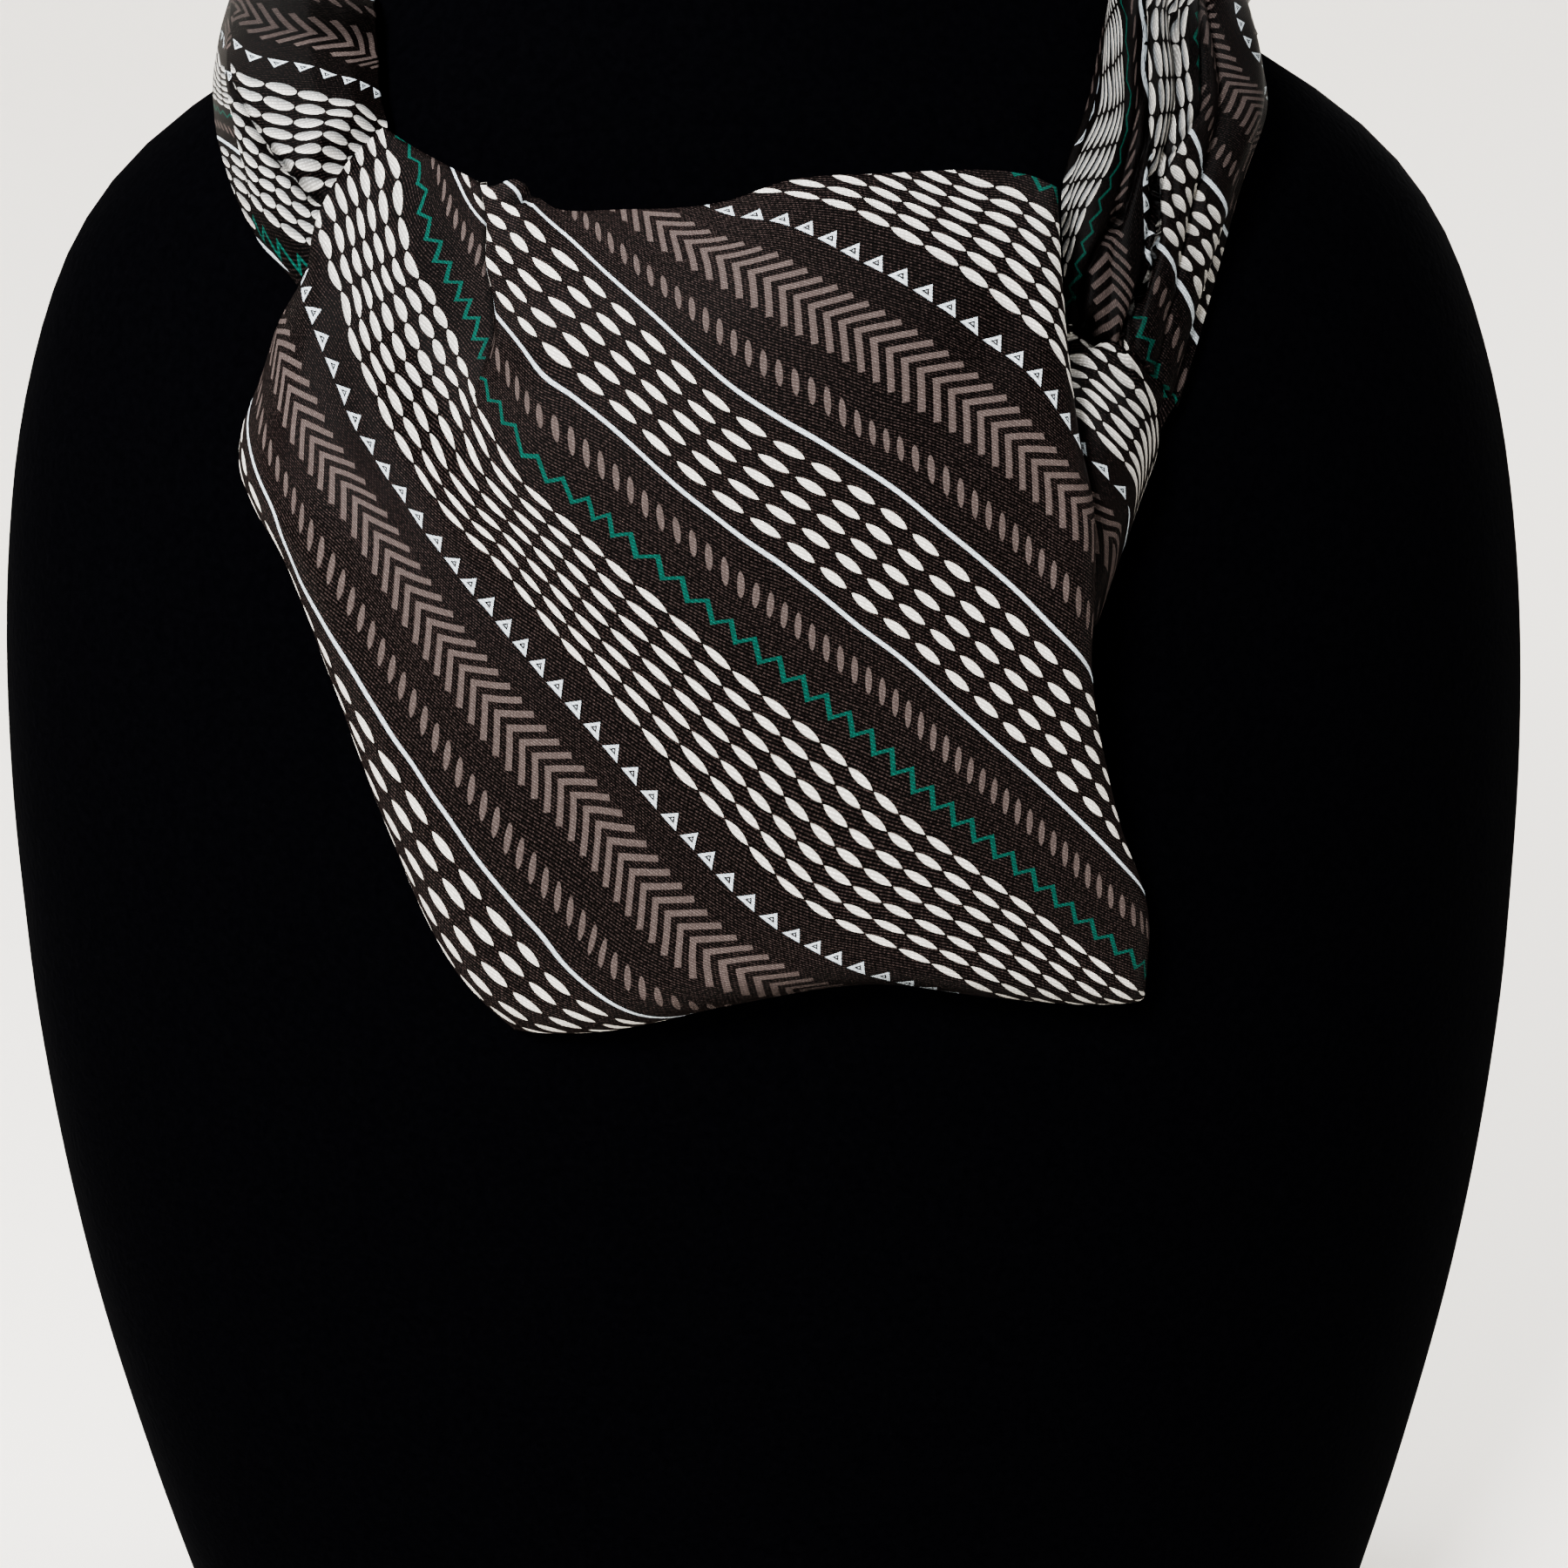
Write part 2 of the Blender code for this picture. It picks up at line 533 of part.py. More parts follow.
def make_under_blade(material):
    rows = np.array(TAIL_ROWS)
    z = np.linspace(rows[0, 0], rows[-1, 0], TAIL_GRID[1])
    sides = smooth_curve(-rows[:, 0], rows[:, 1:], -z)
    across = np.linspace(0, 1, TAIL_GRID[0])
    x = sides[:, :1] * (1 - across) + sides[:, 1:] * across
    z = np.repeat(z[:, None], TAIL_GRID[0], axis=1)
    y = bust_front(x, z) - (CLOTH + TAIL_GAP)
    return add_sheet("under_blade", np.stack([x, y, z], axis=-1), material)


# ---------------------------------------------------------------- objects and materials
def add_object(name, points, faces, material):
    placed = (np.asarray(points) + np.array([0, FRAME_SHIFT_Y, 0])) * MM
    mesh = bpy.data.meshes.new(name)
    mesh.from_pydata([tuple(p) for p in placed], [], faces)
    mesh.validate()
    mesh.shade_smooth()
    mesh.set_sharp_from_angle(angle=np.radians(SHARP_ANGLE))
    mesh.materials.append(material)
    obj = bpy.data.objects.new(name, mesh)
    bpy.context.scene.collection.objects.link(obj)
    return obj


def add_sheet(name, grid, material):
    """A wall of cloth whose outer side is the grid, thickened inwards."""
    rows, columns = grid.shape[:2]
    faces = []
    for r in range(rows - 1):
        for c in range(columns - 1):
            corner = r * columns + c
            faces.append((corner, corner + columns, corner + columns + 1, corner + 1))
    obj = add_object(name, grid.reshape(-1, 3), faces, material)
    wall = obj.modifiers.new("wall", "SOLIDIFY")
    wall.thickness = CLOTH * MM
    wall.offset = -1
    wall.use_even_offset = False
    return obj


def make_material(name, colour, roughness):
    material = bpy.data.materials.new(name)
    material.use_nodes = True
    shader = material.node_tree.nodes["Principled BSDF"]
    shader.inputs["Base Color"].default_value = (*colour, 1)
    shader.inputs["Roughness"].default_value = roughness
    shader.inputs["Metallic"].default_value = 0.0
    return material


def main():
    for old in list(bpy.data.objects):
        bpy.data.objects.remove(old, do_unlink=True)
    velvet = make_material("black_velvet", (0.004, 0.004, 0.005), 0.95)
    twill = make_material("printed_twill", (0.05, 0.04, 0.04), 0.6)
    make_bust(velvet)
    make_front_blade(twill)
    make_neckbands(twill)
    make_right_tuck(twill)
    make_under_blade(twill)


main()
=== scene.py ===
import bpy
import json
import math
import numpy as np
from functools import partial
from mathutils import Matrix, Vector

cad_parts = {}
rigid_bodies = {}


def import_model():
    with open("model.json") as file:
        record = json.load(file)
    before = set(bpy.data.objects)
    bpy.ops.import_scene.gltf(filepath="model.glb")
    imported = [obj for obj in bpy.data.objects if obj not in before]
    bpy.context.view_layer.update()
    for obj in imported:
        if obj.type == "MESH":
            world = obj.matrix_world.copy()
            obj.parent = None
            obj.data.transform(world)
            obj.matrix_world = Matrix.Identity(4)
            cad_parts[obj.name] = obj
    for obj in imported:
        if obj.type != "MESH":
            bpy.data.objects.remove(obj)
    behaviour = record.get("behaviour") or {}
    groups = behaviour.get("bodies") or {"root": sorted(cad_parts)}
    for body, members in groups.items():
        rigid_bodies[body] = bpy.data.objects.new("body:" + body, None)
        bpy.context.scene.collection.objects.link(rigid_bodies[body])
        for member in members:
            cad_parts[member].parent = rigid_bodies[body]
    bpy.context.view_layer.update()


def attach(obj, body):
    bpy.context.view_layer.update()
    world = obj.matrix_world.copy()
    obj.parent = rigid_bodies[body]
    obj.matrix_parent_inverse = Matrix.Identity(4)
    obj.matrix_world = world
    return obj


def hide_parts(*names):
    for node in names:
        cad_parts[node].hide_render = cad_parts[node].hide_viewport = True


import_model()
bpy.ops.object.select_all(action="DESELECT")
print("frame loaded")

# Lengths are in millimetres, about the neck's upright axis, until placed() turns them into metres.
units = {"metre": 0.001, "neckBehindOrigin": 8.0}
cloth = {"thickness": 0.8, "gap": 0.35, "bandGap": 0.8, "solidWall": 1.1}
onBust = cloth["solidWall"] + cloth["gap"]


def placed(points):
    points = np.asarray(points, float) + np.array([0, units["neckBehindOrigin"], 0])
    return points * units["metre"]


# Cubic through the points; where it turns back it keeps only a share of its slope.
def smoothCurve(at, values, where, hold=0.35):
    at, values = np.asarray(at, float), np.asarray(values, float)
    where = np.clip(np.asarray(where, float), at[0], at[-1])
    flat = values.reshape(len(at), -1)
    steps = np.diff(at)
    chords = np.diff(flat, axis=0) / steps[:, None]
    slopes = np.vstack([chords[:1], (chords[:-1] + chords[1:]) / 2, chords[-1:]])
    slopes[1:-1][chords[:-1] * chords[1:] <= 0] *= hold
    span = np.clip(np.searchsorted(at, where, side="right") - 1, 0, len(at) - 2).ravel()
    t = (where.ravel() - at[span])[:, None] / steps[span][:, None]
    h = steps[span][:, None]
    result = (
        flat[span] * (2 * t**3 - 3 * t**2 + 1)
        + flat[span + 1] * (3 * t**2 - 2 * t**3)
        + slopes[span] * h * (t**3 - 2 * t**2 + t)
        + slopes[span + 1] * h * (t**3 - t**2)
    )
    return result.reshape(np.shape(where) + values.shape[1:])


def column(table, name):
    return [row[table["columns"].index(name)] for row in table["rows"]]


# Values of the named columns of a table, read smoothly at where.
def curveOf(table, key, where, *names):
    values = np.transpose([column(table, name) for name in names])
    result = smoothCurve(column(table, key), values, where)
    return result[..., 0] if len(names) == 1 else result


def ease(value):
    t = np.clip(value, 0, 1)
    return t * t * (3 - 2 * t)


def bump(value):
    return np.exp(-(value**2))


# The camera stands in front and a little above.
camera = {
    "place": (2.8, -327.0, 273.0),
    "pitchDown": 17.0,
    "roll": 0.9,
    "lens": 48.0,
    "sensor": 36.0,
    "frameWidth": 1800,
}


def cameraAxes():
    pitch, roll = math.radians(camera["pitchDown"]), math.radians(camera["roll"])
    ahead = np.array([0, math.cos(pitch), -math.sin(pitch)])
    right = np.array([1.0, 0, 0])
    up = np.cross(right, ahead)
    turned = right * math.cos(roll) - up * math.sin(roll)
    return turned, up * math.cos(roll) + right * math.sin(roll), ahead


# Pixel places of points, in a square frame of frameWidth.
def inFrame(points):
    right, up, ahead = cameraAxes()
    away = np.asarray(points, float) - np.array(camera["place"])
    scale = camera["lens"] / camera["sensor"] * camera["frameWidth"] / (away @ ahead)
    middle = camera["frameWidth"] / 2
    return np.stack([middle + scale * (away @ right), middle - scale * (away @ up)], axis=-1)


def makeCamera():
    right, up, ahead = cameraAxes()
    data = bpy.data.cameras.new("camera")
    data.sensor_width, data.lens = camera["sensor"], camera["lens"]
    data.clip_start, data.clip_end = 0.01, 20
    seen = bpy.data.objects.new("camera", data)
    turn = Matrix(np.transpose([right, up, -ahead]).tolist()).to_4x4()
    seen.matrix_world = Matrix.Translation(placed(camera["place"])) @ turn
    bpy.context.scene.collection.objects.link(seen)
    bpy.context.scene.camera = seen


bustForm = {
    "top": 345.0,
    "edgeRound": 4.0,
    "sides": 128,
    "ringSpacing": 5.0,
    "clearingPasses": 6,
    "pull": 0.005,
    "smoothAngle": 35,
    "columns": ("z", "halfWidth", "front", "back", "corner"),
    "rows": [
        (0, 96.7, 53.0, 50.0, 2.5), (28, 102.3, 55.5, 51.5, 2.5), (60, 109.4, 58.0, 52.5, 2.45),
        (100, 116.2, 60.5, 54.0, 2.4), (140, 119.5, 61.8, 55.5, 2.35), (165, 119.8, 61.8, 57.0, 2.3),
        (200, 117.9, 60.0, 58.0, 2.3), (225, 114.1, 57.5, 58.0, 2.3), (241, 110.1, 55.2, 57.5, 2.25),
        (256, 104.3, 52.2, 56.5, 2.2), (264, 99.5, 50.0, 55.5, 2.2), (272, 92.5, 47.8, 54.0, 2.15),
        (278, 84.9, 45.8, 52.0, 2.15), (284, 75.5, 43.6, 50.0, 2.1), (290, 64.7, 41.8, 47.5, 2.1),
        (297, 55.5, 40.4, 44.5, 2.05), (306, 50.0, 39.5, 42.0, 2.0), (320, 47.5, 39.0, 40.5, 2.0),
        (345, 47.0, 38.5, 40.0, 2.0),
    ],
}


def bustSection(z):
    return np.moveaxis(curveOf(bustForm, "z", z, "halfWidth", "front", "back", "corner"), -1, 0)


def bustFront(x, z):
    halfWidth, front, _, corner = bustSection(z)
    return -front * (1 - np.abs(x / halfWidth) ** corner) ** (1 / corner)


# 1 on the bust's surface, less inside it.
def bustSize(points):
    x, y, z = np.moveaxis(points, -1, 0)
    halfWidth, front, back, corner = bustSection(z)
    depth = np.where(y < 0, front, back)
    return (np.abs(x / halfWidth) ** corner + np.abs(y / depth) ** corner) ** (1 / corner)


def clearOfBust(points, gap):
    moved = points.copy()
    for _ in range(bustForm["clearingPasses"]):
        slope = [bustSize(moved + step) - bustSize(moved - step) for step in np.eye(3) / 2]
        slope = np.stack(slope, axis=-1)
        steepness = np.linalg.norm(slope, axis=-1)
        short = np.maximum(gap - (bustSize(moved) - 1) / steepness, 0)
        moved += slope * (short / steepness)[..., None]
    return moved


def bustRing(z, inset):
    halfWidth, front, back, corner = bustSection(z)
    turn = np.arange(bustForm["sides"]) * 2 * np.pi / bustForm["sides"]
    across, deep = np.cos(turn), np.sin(turn)
    x = (halfWidth - inset) * np.sign(across) * np.abs(across) ** (2 / corner)
    depth = np.where(deep < 0, front, back) - inset
    y = depth * np.sign(deep) * np.abs(deep) ** (2 / corner)
    return np.stack([x, y, np.full(len(turn), z)], axis=-1)


# A disc is pulled up ring by ring, and each ring is set to the bust's section.
def makeBust():
    edge, sides, pull = bustForm["edgeRound"], bustForm["sides"], bustForm["pull"]
    quarter = np.radians(np.linspace(0, 90, 5))
    foot = [(edge * (1 - math.cos(a)), edge * (1 - math.sin(a))) for a in quarter]
    top = [(bustForm["top"] - z, inset) for z, inset in reversed(foot)]
    count = int((bustForm["top"] - 2 * edge) / bustForm["ringSpacing"])
    between = np.linspace(edge, bustForm["top"] - edge, count)[1:-1]
    levels = foot + [(z, 0.0) for z in between] + top
    bpy.ops.mesh.primitive_circle_add(vertices=sides, radius=0.1, fill_type="NGON")
    bust = bpy.context.object
    bust.name = "velvet_bust"
    bpy.ops.object.mode_set(mode="EDIT")
    for _ in levels[1:]:
        bpy.ops.mesh.extrude_region_move(TRANSFORM_OT_translate={"value": (0, 0, pull)})
    bpy.ops.object.mode_set(mode="OBJECT")
    height = np.array([v.co.z for v in bust.data.vertices])
    order = np.round((height - height.min()) / pull).astype(int)
    angle = np.array([math.atan2(v.co.y, v.co.x) for v in bust.data.vertices])
    side = np.round(angle / (2 * np.pi) * sides).astype(int) % sides
    rings = np.array([bustRing(z, inset) for z, inset in levels])
    for vertex, place in zip(bust.data.vertices, placed(rings[order, side])):
        vertex.co = place
    bpy.ops.object.mode_set(mode="EDIT")
    bpy.ops.mesh.select_all(action="SELECT")
    bpy.ops.mesh.normals_make_consistent(inside=False)
    bpy.ops.object.mode_set(mode="OBJECT")
    bpy.ops.object.shade_smooth_by_angle(angle=math.radians(bustForm["smoothAngle"]))
    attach(bust, "root")
    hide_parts("display_bust")
    return bust


# A print is laid on each sheet by fitting two fields on a lattice over the flat cloth.
lattice = {
    "bladeStep": 5.0,
    "bandStep": 6.0,
    "margin": 8.0,
    "leastFacing": 0.12,
    "leastSlope": 0.25,
    "stretch": 0.15,
    "slopeShare": 0.3,
    "stepShare": 6.0,
    "alongStiffness": 0.05,
    "steady": 1e-7,
}


def makeLattice(flat, step):
    low = flat.reshape(-1, 2).min(axis=0) - lattice["margin"]
    high = flat.reshape(-1, 2).max(axis=0) + lattice["margin"]
    shape = np.ceil((high - low) / step).astype(int) + 2
    return {"low": low, "step": step, "shape": tuple(shape)}


def latticePoints(net):
    first = net["low"][0] + net["step"] * np.arange(net["shape"][0])
    second = net["low"][1] + net["step"] * np.arange(net["shape"][1])
    return np.stack(np.meshgrid(first, second, indexing="ij"), axis=-1)


# Least squares: through the values at the points, with the given slopes, and smooth.
def fitField(net, points, values, slopes, slopeShare, dataShare, stiffness, steps=()):
    rows, columns = net["shape"]
    number = np.arange(rows * columns).reshape(rows, columns)
    matrix = np.zeros((rows * columns, rows * columns))
    target = np.zeros(rows * columns)

    def add(indices, weights, aim, share):
        weights = np.broadcast_to(np.asarray(weights, float), indices.shape)
        aim = np.broadcast_to(aim, len(indices))
        np.add.at(matrix, (indices[:, :, None], indices[:, None, :]),
                  share * weights[:, :, None] * weights[:, None, :])
        np.add.at(target, indices, share * weights * aim[:, None])

    for line in (number, number.T):
        bend = np.stack([line[:-2], line[1:-1], line[2:]], axis=-1).reshape(-1, 3)
        add(bend, [1, -2, 1], 0.0, stiffness)
    corner = [number[:-1, :-1], number[1:, :-1], number[:-1, 1:], number[1:, 1:]]
    add(np.stack(corner, axis=-1).reshape(-1, 4), [1, -1, -1, 1], 0.0, stiffness)
    if slopes is not None:
        for axis, ends in enumerate([(number[:-1], number[1:]), (number[:, :-1], number[:, 1:])]):
            part = slopes[..., axis]
            middle = (part[:-1] + part[1:]) / 2 if axis == 0 else (part[:, :-1] + part[:, 1:]) / 2
            add(np.stack(ends, axis=-1).reshape(-1, 2), [-1, 1],
                middle.ravel() * net["step"], slopeShare)

    def around(places):
        place = (np.asarray(places) - net["low"]) / net["step"]
        cell = np.clip(np.floor(place).astype(int), 0, np.array(net["shape"]) - 2)
        u, v = np.moveaxis(place - cell, -1, 0)
        i, j = cell[:, 0], cell[:, 1]
        corners = [number[i, j], number[i + 1, j], number[i, j + 1], number[i + 1, j + 1]]
        weights = [(1 - u) * (1 - v), u * (1 - v), (1 - u) * v, u * v]
        return np.stack(corners, axis=-1), np.stack(weights, axis=-1)

    add(*around(points), np.asarray(values, float), dataShare)
    for length, places in steps:  # the field grows by a length from each place to the next
        indices, weights = around(places)
        pairs = np.concatenate([indices[:-1], indices[1:]], axis=-1)
        add(pairs, np.concatenate([-weights[:-1], weights[1:]], axis=-1), length, dataShare)
    matrix[np.diag_indices_from(matrix)] += lattice["steady"]
    return np.linalg.solve(matrix, target).reshape(rows, columns)


# Smooth values of a lattice field at any places.
def readField(net, field, flat):
    place = (flat - net["low"]) / net["step"]
    cell = np.clip(np.floor(place).astype(int), 1, np.array(net["shape"]) - 3)
    t = place - cell

    def weights(x):
        return [(-x**3 + 2 * x**2 - x) / 2, (3 * x**3 - 5 * x**2 + 2) / 2,
                (-3 * x**3 + 4 * x**2 + x) / 2, (x**3 - x**2) / 2]

    first, second = weights(t[..., 0]), weights(t[..., 1])
    total = np.zeros(flat.shape[:-1])
    for i in range(4):
        for j in range(4):
            total += first[i] * second[j] * field[cell[..., 0] + i - 1, cell[..., 1] + j - 1]
    return total


# Running total along an axis, from 0.
def counted(lengths, axis):
    return np.insert(np.cumsum(lengths, axis=axis), 0, 0, axis=axis)


def surfaceNormals(grid):
    normal = np.cross(np.gradient(grid, axis=0), np.gradient(grid, axis=1))
    return normal / np.maximum(np.linalg.norm(normal, axis=-1, keepdims=True), 1e-9)


# How squarely each place of a grid faces the camera, and its normals.
def facingShare(grid):
    normal, toward = surfaceNormals(grid), np.array(camera["place"]) - grid
    return (normal * toward).sum(-1) / np.linalg.norm(toward, axis=-1), normal


# Flat places of the course points: each is a pixel of the camera's frame on the sheet.
def seenPlaces(grid, flat, courses, cut=None):
    pixels = inFrame(grid)
    facing = np.abs(facingShare(grid)[0]) > lattice["leastFacing"]
    alongRows, alongColumns = np.gradient(pixels, axis=(0, 1))
    flatRows, flatColumns = np.gradient(flat, axis=(0, 1))
    if cut is not None:  # the flat sheet jumps after this column
        flatColumns[:, cut] = flat[:, cut] - flat[:, cut - 1]
        flatColumns[:, cut + 1] = flat[:, cut + 2] - flat[:, cut + 1]
    points, values = [], []
    for value, course in courses:
        for pixel in course:
            off = np.array(pixel) - pixels
            distance = np.where(facing, (off**2).sum(-1), np.inf)
            at = np.unravel_index(np.argmin(distance), distance.shape)
            system = np.stack([alongRows[at], alongColumns[at]], axis=-1)
            share = np.linalg.lstsq(system, off[at], rcond=None)[0].clip(-1, 1)
            points.append(flat[at] + share[0] * flatRows[at] + share[1] * flatColumns[at])
            values.append(value)
    return np.array(points).reshape(-1, 2), np.array(values, float)


# Slopes of the field along the stripes, square to those of the field across them.
def alongSlopes(net, v, stretch):
    first, second = np.gradient(v, net["step"])
    along = np.stack([second, -first], axis=-1)
    steepness = np.linalg.norm(along, axis=-1, keepdims=True)
    return along / np.maximum(steepness, lattice["leastSlope"]) ** (1 - stretch)


# v counts across the print's stripes and u along them, both in millimetres of cloth.
def printFields(net, points, values, steps=(), dataShare=20.0, stiffness=0.4):
    v = fitField(net, points, values, None, 0.0, dataShare, stiffness)
    anchor = latticePoints(net)[net["shape"][0] // 2, net["shape"][1] // 2][None]
    slopes = alongSlopes(net, v, lattice["stretch"])
    u = fitField(net, anchor, [0.0], slopes, lattice["slopeShare"], lattice["stepShare"],
                 lattice["alongStiffness"], steps)
    return u, v


creasing = {"fullLength": 0.25, "endFade": 0.2, "edgeFade": 0.3, "darkFurrow": 1.8, "tight": 0.02,
            "tightFade": 0.10}


# Raises a ridge or presses a furrow between two pixels of the frame, where it is seen, and gives
# painted shade for the furrows, full at darkFurrow deep.
def pressed(grid, creases):
    pixels = inFrame(grid)
    facing, normal = facingShare(grid)
    sign = np.where(facing < 0, -1.0, 1.0)
    raised = np.zeros(grid.shape[:2])
    for x0, y0, x1, y1, width, height in creases:
        start, run = np.array([x0, y0], float), np.array([x1 - x0, y1 - y0], float)
        off = pixels - start
        past = np.abs((off @ run) / (run @ run) - 0.5) - creasing["fullLength"]
        aside = (off[..., 0] * run[1] - off[..., 1] * run[0]) / np.linalg.norm(run)
        raised += height * bump(np.maximum(past, 0) / creasing["endFade"]) * bump(aside / width)
    shown = ease(np.abs(facing) / creasing["edgeFade"])
    moved = grid + normal * (sign * raised * shown)[..., None]
    return moved, np.clip(-raised / creasing["darkFurrow"], 0, 1)


# 1 where the columns of a sheet close up in a fold.
def tightFolds(grid):
    width = np.linalg.norm(np.diff(grid, axis=1), axis=-1)
    tight = 1 - ease((width - creasing["tight"]) / creasing["tightFade"])
    tight = np.pad(tight, ((0, 0), (1, 1)))
    return np.maximum(tight[:, 1:], tight[:, :-1])


# A sheet's outer side is the grid, and each panel lays its own stretch of the print on it. Where
# the cloth is full, its motifs are drawn wider and painted shade darkens its ground; the last argument
# is painted shade.
def makeSheet(form, grid, panels, full=0.0, paintedShade=0.0):
    name = "cravat_" + form["node"]
    rows, columns = grid.shape[:2]
    number = np.arange(rows * columns).reshape(rows, columns)
    faces = np.stack([number[:-1, :-1], number[1:, :-1], number[1:, 1:], number[:-1, 1:]], axis=-1)
    mesh = bpy.data.meshes.new(name)
    mesh.from_pydata(placed(grid.reshape(-1, 3)).tolist(), [], faces.reshape(-1, 4).tolist())
    corners = np.zeros((rows - 1, columns - 1, 4, 2), np.float32)
    for first, last, u, v in panels:
        both = np.stack([u, v], axis=-1)[:, first:last + 1]
        sides = (both[:-1, :-1], both[1:, :-1], both[1:, 1:], both[:-1, 1:])
        corners[:, first:last] = np.stack(sides, axis=2)
    layer = mesh.uv_layers.new(name="print")
    layer.data.foreach_set("uv", corners.ravel())
    for label, values in (("fullness", full), ("paintedShade", paintedShade)):
        layer = mesh.attributes.new(label, "FLOAT", "POINT")
        layer.data.foreach_set("value", np.broadcast_to(values, (rows, columns)).ravel().astype("f"))
    mesh.shade_smooth()
    sheet = bpy.data.objects.new(name, mesh)
    bpy.context.scene.collection.objects.link(sheet)
    bpy.context.view_layer.objects.active = sheet
    wall = sheet.modifiers.new("wall", "SOLIDIFY")
    wall.thickness = cloth["thickness"] * units["metre"]
    wall.offset = -1
    wall.use_even_offset = False
    bpy.ops.object.modifier_apply(modifier=wall.name)
    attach(sheet, "root")
    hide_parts(form["node"])
    edges = np.diff(grid, axis=0)[:, :-1], np.diff(grid, axis=1)[:-1]
    area = np.linalg.norm(np.cross(*edges), axis=-1).sum() / 100
    sides = [np.linalg.norm(np.diff(grid, axis=i), axis=-1).sum(axis=i).max() for i in (0, 1)]
    print(name, len(sheet.data.polygons), "faces", round(area, 1), "square centimetres,",
          "sides", np.round(sides), "millimetres")
    return sheet


